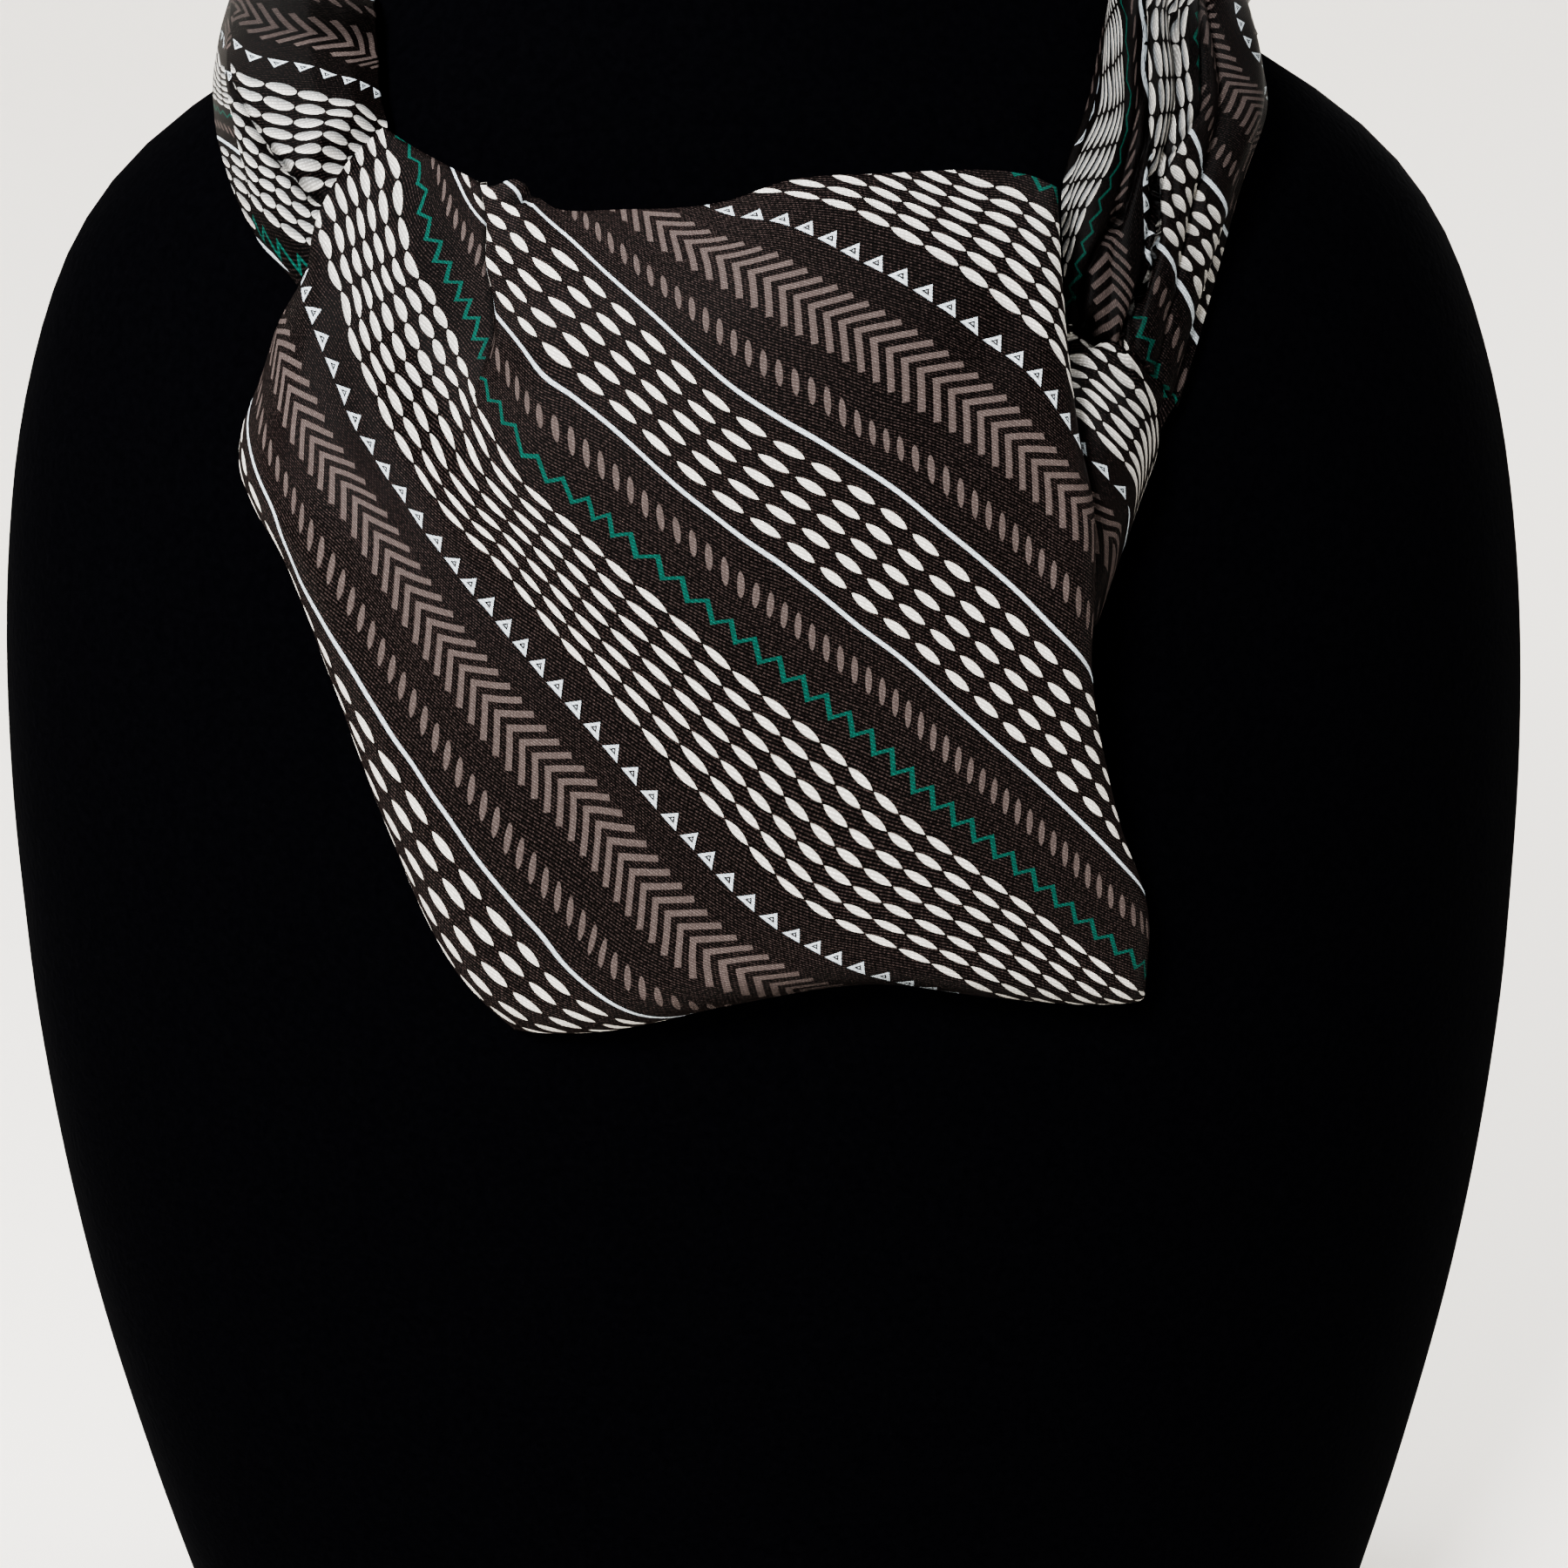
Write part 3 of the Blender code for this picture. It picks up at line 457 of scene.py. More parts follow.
blade = {
    "node": "front_blade",
    "held": "draped",
    "flat": (0.124, 0.136),
    "area": 0.013,
    "restsOn": ["velvet_bust", "cravat_under_blade"],
    "rowCount": 170,
    "columnCount": 190,
    "crowding": 0.35,
    "rimStart": 0.05,
    "hemRoll": (9.0, 3.0),
    "troughWidth": 7.0,
    "creaseLength": 0.42,
    "tuckColumn": 0.27,
    "tuckStep": 0.005,
    "tuckFade": 0.22,
    "stepColumns": 9,
    "stepClear": 1.3,
    "tuckShade": 0.007,
    # tuckShade, tuckDark, hemShade and hemShadeAt place painted shade at the tuck's foot and on the
    # turned hem
    "tuckDark": (4.0, 0.85),  # depth that is darkest, and how dark
    "hemShade": (0.93, 0.95),  # how far down it starts, and how dark the turned hem gets
    "hemShadeAt": (0.62, 0.42),
    "fullTop": 0.42,
    "fullFade": 0.25,
    "fullLeft": 0.55,
    "leftFade": (0.19, 0.08),  # where the fullness fades across the cloth, and over what width
    "fullRight": 0.45,
    "rightFade": (0.55, 0.3),
    "leftEdge": {
        "columns": ("down", "x", "z"),
        "rows": [
            (0.0, -47.5, 276.0), (0.035, -51.5, 272.2), (0.07, -54.1, 268.0), (0.11, -56.0, 263.4),
            (0.15, -57.2, 258.8), (0.22, -61.8, 252.0), (0.28, -65.0, 244.8), (0.335, -67.8, 238.6),
            (0.37, -68.4, 234.4), (0.41, -67.0, 230.0), (0.48, -62.9, 222.6), (0.6, -57.2, 206.6),
            (0.76, -51.2, 187.6), (0.92, -42.6, 166.5), (1.0, -34.8, 156.9),
        ],
    },
    "rightEdge": {
        "columns": ("down", "x", "z"),
        "rows": [
            (0.0, 38.2, 267.4), (0.11, 38.4, 255.6), (0.28, 40.3, 237.9), (0.36, 42.2, 229.3),
            (0.47, 42.7, 217.1), (0.57, 42.8, 206.9), (0.75, 47.2, 186.8), (0.88, 51.9, 173.0),
            (1.0, 52.1, 159.3),
        ],
    },
    "neckline": {
        "columns": ("across", "x", "z"),
        "rows": [
            (0.0, -47.5, 276.0), (0.05, -43.5, 273.6), (0.13, -36.5, 270.1), (0.22, -28.5, 266.3),
            (0.37, -15.4, 265.7), (0.51, -3.6, 266.4), (0.6, 4.5, 268.8), (0.72, 14.7, 269.4),
            (0.95, 34.2, 269.0), (1.0, 38.2, 267.4),
        ],
    },
    "hem": {
        "columns": ("across", "x", "z"),
        "rows": [
            (0.0, -34.8, 156.9), (0.15, -21.5, 157.8), (0.36, -3.5, 162.0), (0.56, 14.0, 164.6),
            (0.76, 31.6, 161.8), (0.9, 43.5, 159.9), (1.0, 52.1, 159.3),
        ],
    },
    "stand": {
        "columns": ("down", "left", "middle", "right", "leftRim", "rightRim", "leftRoll", "rightRoll"),
        "rows": [
            (0.0, 4.0, 10.0, 9.5, 4.0, 8.5, 0.5, 2.0), (0.09, 9.0, 13.0, 14.0, 8.5, 10.5, 0.5, 4.0),
            (0.16, 12.5, 15.0, 15.5, 6.0, 11.0, 4.0, 4.5),
            (0.28, 13.5, 16.0, 15.5, 0.9, 11.5, 8.0, 4.5), (0.5, 13.0, 15.5, 13.0, 0.9, 9.0, 9.0, 4.5),
            (0.75, 10.5, 12.5, 9.0, 0.9, 4.2, 9.0, 4.0), (1.0, 8.0, 10.0, 6.0, 0.9, 1.4, 8.0, 3.0),
        ],
    },
    "tuck": {  # hidden is the cloth that the tuck takes up
        "columns": ("down", "across", "depth", "hidden"),
        "rows": [
            (0.0, 0.158, 4.6, 3.0), (0.03, 0.201, 5.0, 4.5), (0.06, 0.222, 5.0, 4.5),
            (0.1, 0.25, 4.4, 4.0), (0.13, 0.26, 3.4, 3.0), (0.17, 0.264, 1.8, 1.5),
            (0.21, 0.272, 0.6, 0.3), (0.28, 0.276, 0.0, 0.0), (0.6, 0.27, 0.0, 0.0),
            (1.0, 0.27, 0.0, 0.0),
        ],
    },
    "trough": {
        "columns": ("z", "x", "depth"),
        "rows": [
            (196.0, -8.0, 0.0), (206.6, -21.2, 1.2), (220.3, -33.7, 2.4), (233.3, -42.7, 2.6),
            (244.8, -47.6, 2.2), (254.0, -51.0, 0.8), (262.0, -54.0, 0.0),
        ],
    },
    "lip": {"x": -28.8, "width": 3.0, "rise": 3.0, "out": 1.2, "reach": 0.055},
    "creases": [  # x and z of both ends, width and height: a ridge is above 0, a furrow below
        (-45, 268, -36, 228, 3.0, 0.5), (-52, 262, -47, 236, 2.6, -0.5), (-26, 240, -8, 214, 5.0, -0.7),
        (36, 262, 22, 236, 4.0, -0.6), (40, 236, 26, 214, 5.0, -0.7), (38, 205, 12, 190, 6.0, 0.6),
        (-44, 196, -22, 172, 5.0, 0.7), (46, 168, 30, 176, 4.0, -0.6),
    ],
    "press": [(578, 230, 618, 221, 5.0, -1.6)],  # pixels from and to, width in pixels, height
    "courses": [  # stripes of the print: where across it, and the pixels that it passes
        (-33.2, [(477, 1018), (500, 1062), (530, 1105)]),
        (-30.7, [(458, 963), (485, 1010), (515, 1053), (548, 1098)]),
        (-28.2, [(417, 860), (442, 907), (472, 953), (502, 998), (533, 1043), (567, 1087)]),
        (-25.8, [(341, 682), (358, 720), (378, 762), (400, 804), (426, 848), (457, 893), (488, 942),
            (518, 987), (550, 1030), (585, 1073), (618, 1108), (653, 1141), (689, 1161)]),
        (-23.0, [(308, 575), (320, 604), (333, 642), (349, 675), (367, 709), (387, 742), (409, 778),
            (431, 815), (455, 853), (493, 910), (523, 953), (550, 990), (580, 1027), (613, 1063),
            (640, 1098), (660, 1120), (683, 1140), (713, 1158)]),
        (-18.6, [(345, 598), (370, 637), (394, 677), (418, 717), (443, 758), (468, 799), (496, 841),
            (524, 883), (554, 923), (583, 963), (612, 998), (642, 1033), (671, 1065)]),
        (-9.4, [(320, 400), (399, 560), (424, 599), (449, 642), (473, 683), (499, 722), (524, 758),
            (551, 793), (579, 829), (608, 862), (638, 892), (667, 923), (695, 958), (733, 1011),
            (780, 1062), (828, 1105), (875, 1125)]),
        (0.0, [(345, 318), (387, 430), (415, 495), (452, 552), (472, 580), (510, 630), (550, 681),
            (588, 727), (626, 772), (667, 818), (709, 867), (753, 919), (824, 995), (873, 1043),
            (924, 1079), (972, 1104), (1090, 1145)]),
        (4.3, [(366, 263), (380, 297), (394, 332), (575, 648), (624, 708), (682, 773), (746, 844),
            (812, 917)]),
        (6.2, [(382, 248), (396, 295), (407, 330)]), (8.0, [(398, 245), (409, 298), (420, 335)]),
        (9.9, [(400, 205), (413, 245), (422, 298), (434, 330)]),
        (11.8, [(419, 203), (428, 245), (437, 297), (451, 332)]),
        (13.7, [(426, 168), (437, 203), (442, 250), (453, 295), (467, 325)]),
        (15.5, [(440, 161), (452, 202), (459, 246), (469, 288), (485, 324), (501, 355), (517, 384),
            (529, 412), (536, 437), (548, 465), (703, 650), (740, 682), (780, 717), (819, 752),
            (853, 782)]),
        (18.85, [(457, 155), (480, 190), (484, 227), (492, 255), (507, 297), (527, 336), (544, 375),
            (551, 400), (555, 437), (565, 457), (577, 477), (600, 513), (645, 558), (699, 600),
            (763, 655), (822, 707), (900, 770), (1000, 850), (1100, 940), (1200, 1020), (1310, 1108)]),
        (23.9, [(495, 177), (512, 224), (535, 269), (544, 282), (587, 442), (645, 495), (749, 587),
            (844, 668)]),
        (28.4, [(515, 182), (534, 226), (545, 244), (569, 354), (574, 370), (619, 420), (677, 470),
            (725, 511), (781, 562), (831, 601), (900, 650), (980, 715), (1030, 752), (1080, 797),
            (1200, 905), (1295, 1000)]),
        (30.9, [(578, 347), (600, 372), (636, 403)]), (33.4, [(582, 324), (612, 354)]),
        (35.9, [(573, 284), (592, 305), (626, 336)]), (38.4, [(579, 261), (604, 288), (642, 320)]),
        (40.8, [(592, 245), (621, 272), (657, 305)]),
        (43.6, [(613, 238), (649, 270), (683, 302), (751, 363), (788, 398), (832, 437), (877, 469),
            (933, 502), (980, 530), (1030, 564), (1080, 605), (1130, 646), (1180, 691), (1230, 742),
            (1258, 790)]),
        (48.0, [(896, 429), (931, 447), (1004, 500), (1055, 528), (1106, 569), (1154, 608), (1199, 650),
            (1240, 694)]),
        (57.2, [(745, 247), (800, 283), (878, 320), (930, 351), (1001, 389), (1072, 435), (1124, 474),
            (1159, 505), (1187, 530), (1219, 560), (1246, 591), (1258, 608)]),
        (66.6, [(820, 236), (905, 252), (958, 277), (1013, 305), (1070, 339), (1123, 377), (1150, 397),
            (1200, 440), (1236, 500)]),
        (70.9, [(978, 239), (1017, 258), (1055, 278), (1097, 303), (1132, 328), (1170, 359),
            (1202, 387)]),
        (82.1, [(1116, 208), (1159, 219), (1194, 242)]), (85.4, [(1178, 202), (1205, 218)]),
    ],
    "courseMotifs": [  # motifs that follow each other: spacing, course, first and end
        (4.95, 15.5, 10, 15), (4.95, 70.9, 0, 7), (4.95, 82.1, 0, 3), (4.7, -18.6, 0, 13),
        (5.4, 38.4, 0, 3), (5.4, 33.4, 0, 2), (5.4, 30.9, 0, 3), (5.4, -25.8, 0, 12),
        (7.1, 0.0, 12, 16), (7.1, 66.6, 1, 6), (4.7, -9.4, 1, 13),
    ],
    "motifs": [  # the same beside the courses: spacing, and the motifs' pixels
        (4.95, [(440, 162), (452, 202), (459, 246), (469, 288), (485, 324), (501, 355), (517, 384),
            (529, 412), (536, 437), (548, 465)]),
        (4.95, [(575, 648), (598, 676), (624, 708), (652, 740), (682, 773), (713, 808), (746, 844),
            (778, 881), (812, 917)]),
        (4.95, [(525, 582), (550, 614), (573, 644), (598, 675)]),
        (3.85, [(468, 175), (478, 189), (484, 217), (492, 242), (499, 266), (508, 285), (516, 302),
            (520, 324), (532, 339), (538, 355), (545, 373)]),
        (7.7, [(653, 561), (699, 600), (753, 646), (807, 695), (859, 739)]),
        (4.7, [(495, 176), (506, 208), (519, 241), (535, 269)]),
        (4.7, [(587, 442), (613, 465), (645, 495), (678, 523), (713, 556), (749, 587), (786, 620),
            (826, 652), (864, 682)]),
        (4.7, [(1004, 502), (1038, 516), (1072, 542), (1106, 569), (1139, 594), (1169, 621),
            (1199, 650), (1227, 679), (1251, 711)]),
        (5.4, [(592, 245), (620, 272), (657, 305)]),
        (7.1, [(450, 550), (490, 604), (529, 656), (569, 703), (607, 749), (647, 795), (689, 843),
            (733, 893)]),
        (4.7, [(912, 340), (947, 359), (982, 378), (1019, 400), (1055, 423), (1090, 449), (1124, 474)]),
    ],
}


def crowded(count, share):
    even = np.linspace(0, 1, count)
    return (1 - share) * even + share * (1 - np.cos(np.pi * even)) / 2


# Columns across the blade, crowded at its edges and at the tuck's step.
def bladeColumns():
    columns = crowded(blade["columnCount"], blade["crowding"])
    middle, step = blade["tuckColumn"], blade["tuckStep"]
    columns = columns[np.abs(columns - middle) > blade["stepClear"] * step]
    return np.sort(np.append(columns, middle + step * np.linspace(-1, 1, blade["stepColumns"])))


def bladePoint(columns, down):
    tuck, lip = blade["tuck"], blade["lip"]
    place, start = curveOf(tuck, "down", down, "across"), blade["tuckColumn"]
    across = np.where(columns < start, columns * place / start,
                      1 - (1 - columns) * (1 - place) / (1 - start))
    left, right = [curveOf(blade[side], "down", down, "x", "z") for side in ("leftEdge", "rightEdge")]
    top, bottom = [curveOf(blade[side], "across", across, "x", "z") for side in ("neckline", "hem")]
    s, t = across[..., None], down[..., None]
    corners = 0
    for share, side in ((1 - t, "neckline"), (t, "hem")):
        ends = [np.array(blade[side]["rows"][i][1:]) for i in (0, -1)]
        corners = corners + share * ((1 - s) * ends[0] + s * ends[1])
    x, z = np.moveaxis((1 - s) * left + s * right + (1 - t) * top + t * bottom - corners, -1, 0)
    stand = curveOf(blade["stand"], "down", down, *blade["stand"]["columns"][1:])
    leftStand, middleStand, rightStand, leftRim, rightRim, leftRoll, rightRoll = (
        np.moveaxis(stand, -1, 0))
    face = (1 - across) * leftStand + across * rightStand
    face = face + 4 * across * (1 - across) * (middleStand - (leftStand + rightStand) / 2)
    rim = (1 - across) * leftRim + across * rightRim
    hemRoll = (1 - across) * blade["hemRoll"][0] + across * blade["hemRoll"][1]

    def rollProfile(distance, radius):
        near = np.clip(1 - (distance + blade["rimStart"]) / radius, 0, 1)
        return np.sqrt(1 - near**2)

    rolled = rollProfile(x - left[..., 0], leftRoll) * rollProfile(right[..., 0] - x, rightRoll)
    rolled = rolled * rollProfile(z - bottom[..., 1], hemRoll)
    beyond = columns - start
    lap = ease(0.5 + beyond / (2 * blade["tuckStep"]))
    lap = lap * np.exp(-np.maximum(beyond, 0) / blade["tuckFade"])
    standOff = rim + (face - rim + curveOf(tuck, "down", down, "depth") * lap) * rolled
    raised = bump((x - lip["x"]) / lip["width"]) * ease(1 - down / lip["reach"])
    z = z + lip["rise"] * raised
    standOff = standOff + lip["out"] * raised
    valley, depth = np.moveaxis(curveOf(blade["trough"], "z", z, "x", "depth"), -1, 0)
    standOff = standOff - depth * rolled * bump((x - valley) / blade["troughWidth"])
    for x0, z0, x1, z1, width, height in blade["creases"]:
        run = np.array([x1 - x0, z1 - z0], float)
        place = ((x - x0) * run[0] + (z - z0) * run[1]) / (run @ run)
        aside = ((x - x0) * run[1] - (z - z0) * run[0]) / np.linalg.norm(run)
        fade = bump((place - 0.5) / blade["creaseLength"])
        standOff = standOff + height * fade * bump(aside / width) * rolled
    return np.stack([x, bustFront(x, z) - standOff, z], axis=-1)


# The blade laid flat: x and z, each counted along the cloth from the middle.
def bladeFlat(grid):
    sides = []
    for axis, part in ((1, 0), (0, 2)):
        step = np.diff(grid, axis=axis)
        run = counted(np.sign(step[..., part]) * np.hypot(step[..., part], step[..., 1]), axis)
        middle = [grid.shape[axis] // 2]
        sides.append(run + np.take(grid[..., part] - run, middle, axis=axis))
    return np.stack(sides, axis=-1)


def makeBlade():
    columns, down = np.meshgrid(bladeColumns(), crowded(blade["rowCount"], blade["crowding"]))
    grid = bladePoint(columns, down)
    whole = bladeFlat(grid)
    behind = whole - curveOf(blade["tuck"], "down", down, "hidden")[..., None] * np.array([1.0, 0.0])
    pastTuck = columns - blade["tuckColumn"] + blade["tuckStep"]
    cut = int(np.argmin(np.abs(pastTuck[0])))
    flat = np.concatenate([behind[:, :cut + 1], whole[:, cut + 1:]], axis=1)
    net = makeLattice(flat, lattice["bladeStep"])
    points, values = seenPlaces(grid, flat, blade["courses"], cut)
    courses = dict(blade["courses"])
    runs = [(spacing, courses[at][first:end]) for spacing, at, first, end in blade["courseMotifs"]]
    steps = [(spacing, seenPlaces(grid, flat, [(spacing, pixels)], cut)[0])
             for spacing, pixels in runs + blade["motifs"]]
    fields = printFields(net, points, values, steps)
    panels = [(first, last, *[readField(net, field, side) for field in fields])
              for side, first, last in ((behind, 0, cut), (whole, cut, grid.shape[1] - 1))]
    # Painted shade: the pressed furrow, the turned hem and the foot of the tuck.
    grid, paintedShade = pressed(grid, blade["press"])
    low, high = blade["hemShade"]
    middle, width = blade["hemShadeAt"]
    paintedShade = np.maximum(paintedShade, high * ease((down - low) / (1 - low)) * bump((columns - middle) / width))
    depth, darkest = blade["tuckDark"]
    foot = np.minimum(curveOf(blade["tuck"], "down", down, "depth") / depth, darkest)
    paintedShade = np.maximum(paintedShade, foot * bump(pastTuck / blade["tuckShade"]))
    left, right = [ease((columns - start) / fade) for start, fade in (blade["leftFade"],
                                                                      blade["rightFade"])]
    full = ease((blade["fullTop"] - down) / blade["fullFade"])
    full = full * np.maximum(blade["fullLeft"] * (1 - left), blade["fullRight"] * right)
    return makeSheet(blade, grid, panels, full, paintedShade)


# The band round the neck: lines run along it, from the edge at the neck to the foot.
band = {
    "crease": [  # each section runs innerEdge, upperFace, face, valley, outerFace, ridge, flank, foot
        (-47.8, -43.2, 276.3), (-49.2, -46.8, 274.6), (-51.0, -49.8, 272.2), (-53.4, -51.4, 268.8),
        (-55.5, -52.4, 264.6), (-57.4, -52.8, 259.8), (-60.0, -49.8, 257.4), (-61.4, -46.6, 257.0),
    ],
    "turn": [
        (-48.4, -40.0, 281.0), (-51.1, -45.0, 279.0), (-55.1, -47.4, 276.2), (-58.8, -47.8, 273.2),
        (-61.6, -47.6, 270.9), (-64.3, -46.4, 269.5), (-67.6, -41.6, 268.8), (-69.2, -38.2, 268.6),
    ],
    "lap": [
        (-49.0, -35.7, 286.0), (-52.0, -39.5, 285.3), (-56.6, -41.8, 284.4), (-61.2, -41.4, 283.2),
        (-65.2, -40.6, 282.1), (-68.6, -37.8, 281.8), (-71.8, -31.2, 280.7), (-73.6, -26.7, 279.4),
    ],
    "collar": [
        (-50.4, -28.3, 292.4), (-53.6, -30.4, 293.1), (-58.0, -32.0, 293.5), (-62.4, -31.0, 293.4),
        (-66.8, -28.8, 293.0), (-70.6, -24.2, 292.2), (-73.6, -19.0, 289.6), (-75.2, -15.2, 286.4),
    ],
    "collarRight": [
        (47.5, -32.5, 290.7), (48.6, -36.4, 291.6), (51.2, -38.0, 291.8), (54.2, -36.6, 291.4),
        (57.4, -35.6, 291.0), (61.6, -32.6, 290.4), (65.4, -27.8, 289.0), (68.2, -22.8, 287.2),
    ],
    "lapRight": [
        (43.6, -42.8, 278.5), (46.5, -45.6, 278.5), (50.2, -46.4, 278.4), (54.0, -44.8, 278.3),
        (58.2, -43.4, 278.3), (62.7, -40.6, 278.3), (66.6, -36.0, 278.4), (69.3, -31.2, 278.3),
    ],
    "turnRight": [
        (39.5, -49.1, 265.4), (43.1, -50.8, 265.2), (47.2, -51.3, 265.0), (50.6, -50.5, 264.9),
        (54.4, -49.4, 264.9), (58.4, -47.4, 265.1), (61.6, -44.6, 265.4), (63.7, -42.0, 265.6),
    ],
    "endRight": [
        (39.8, -56.0, 249.8), (42.6, -55.8, 249.4), (45.4, -56.0, 248.6), (48.0, -55.8, 247.0),
        (50.4, -55.0, 244.8), (52.4, -53.8, 242.6), (53.8, -52.2, 240.6), (54.6, -50.6, 239.2),
    ],
    "sideFold": [
        (5.6, 8.4), (7.4, 12.8), (11.2, 15.4), (15.6, 15.4), (19.6, 13.0), (22.8, 8.6), (24.8, 2.0),
        (25.2, -5.0),
    ],
    "napeFold": [
        (2.0, 19.0), (4.0, 25.0), (8.0, 27.2), (11.6, 25.6), (14.4, 20.5), (15.8, 13.0), (14.8, 5.0),
        (11.5, -1.0),
    ],
    "neckHalf": (50.0, 42.0),
    "creaseStep": (-0.75, 0.2, 0.55),
    "ends": (0.0, 7.0, 9.0, 16.0),
    "rowCounts": (105, 60, 120),
    "fineColumns": 281,
    "jointStep": 0.002,
    "jointReach": (1.1, 0.4),
    "underEdge": (0.3, 1.0, -0.3),
    "seamStep": 0.0072,
    "crispness": 0.55,
    "rear": {
        "columns": ("angle", "height", "napeShare", "reach"),
        "rows": [
            (189, 289.4, 0.0, 1.0), (168, 291.8, 0.05, 1.0), (147, 293.6, 0.4, 1.0),
            (120, 296.0, 0.85, 1.0), (90, 297.0, 1.0, 1.0), (60, 296.0, 0.85, 1.0),
            (33, 293.6, 0.4, 0.95), (12, 291.8, 0.05, 0.86), (-9, 289.4, 0.0, 0.8),
        ],
    },
    "turnStart": 90.0,  # the stripes cross the left side, turn behind the neck, then run along
    "turnEnd": 235.0,
    "leftKnown": 75.0,
    "backKnown": 158.0,
    "slopeShare": 0.03,
    "courseShare": 12.0,
    "courseStiffness": 0.4,
    "stretch": 0.3,
    "alongStiffness": 0.05,
    "grainFade": 60.0,
    "underBlade": (0.3, 200),
    "aboveFrame": -30,
    "borderSmooth": 5,
    "leastPanel": 0.002,
}
leftBand = {
    "node": "left_neckband",
    "held": "folded",
    "flat": (0.042, 0.14),
    "area": 0.0046,
    "restsOn": ["velvet_bust"],
    "valley": [(262, 95), (290, 150), (330, 200), (352, 215), (368, 232), (374, 244)],
    "ridge": [(258, 93), (271, 154), (288, 229), (297, 275), (342, 322)],
    "valleyLimits": (0.3, 5 / 7 - 0.03),
    "ridgeLimits": (5 / 7, 0.93),  # the ridge is line 5 of 7
    "spans": (52, 24, 26),
    "grains": (0.8, 1.85, 1.0),
    # painted shade, darker towards the top of the frame: pixel row, reach and share
    "paintedDimming": (62.0, 30.0, 0.6),
    "valleyPress": [  # pixels from and to, width in pixels, height in millimetres
        (372, 236, 326, 196, 7, -1.3), (332, 202, 288, 148, 7, -1.5), (292, 156, 264, 96, 5, -1.0),
    ],
    "fullness": 0.9,
    "panels": [  # courses of the upper, middle and lower facet
        [
            (-9.4, [(330, 42), (352, 36), (381, 37), (397, 49), (413, 62)]),
            (0.0, [(267, 46), (284, 64), (310, 70), (335, 72), (363, 81), (391, 89), (418, 99)]),
            (4.3, [(272, 86), (295, 97), (342, 110), (384, 115), (417, 129), (431, 141)]),
            (6.2, [(279, 110), (305, 117), (344, 125), (384, 129), (412, 136), (428, 150)]),
            (8.0, [(300, 131), (323, 138), (365, 141), (403, 146), (420, 157)]),
            (9.9, [(305, 150), (333, 155), (370, 157), (400, 161), (412, 171)]),
            (11.8, [(312, 166), (342, 174), (379, 175), (402, 183)]),
            (13.6, [(328, 184), (356, 192), (386, 193)]), (15.5, [(340, 205), (366, 210)]),
        ],
        [
            (4.3, [(269, 117), (288, 135)]), (6.2, [(271, 138), (287, 151), (300, 165)]),
            (8.0, [(276, 154), (296, 177), (319, 193)]),
            (9.9, [(283, 181), (296, 193), (319, 207), (340, 219)]),
            (11.8, [(289, 200), (315, 220), (338, 236), (356, 248)]),
            (13.6, [(294, 213), (315, 232), (338, 246), (354, 261)]),
            (15.5, [(296, 243), (315, 252), (335, 269), (349, 280)]),
            (18.85, [(302, 271), (322, 287), (340, 301)]),
        ],
        [
            (0.0, [(252, 62)]), (4.3, [(256, 80)]), (9.9, [(255, 100)]), (15.5, [(253, 117)]),
            (18.85, [(252, 126)]), (28.4, [(262, 165)]),
        ],
    ],
}
backBand = {
    "node": "back_neckband",
    "held": "folded",
    "flat": (0.048, 0.069),
    "area": 0.003,
    "restsOn": ["velvet_bust"],
}
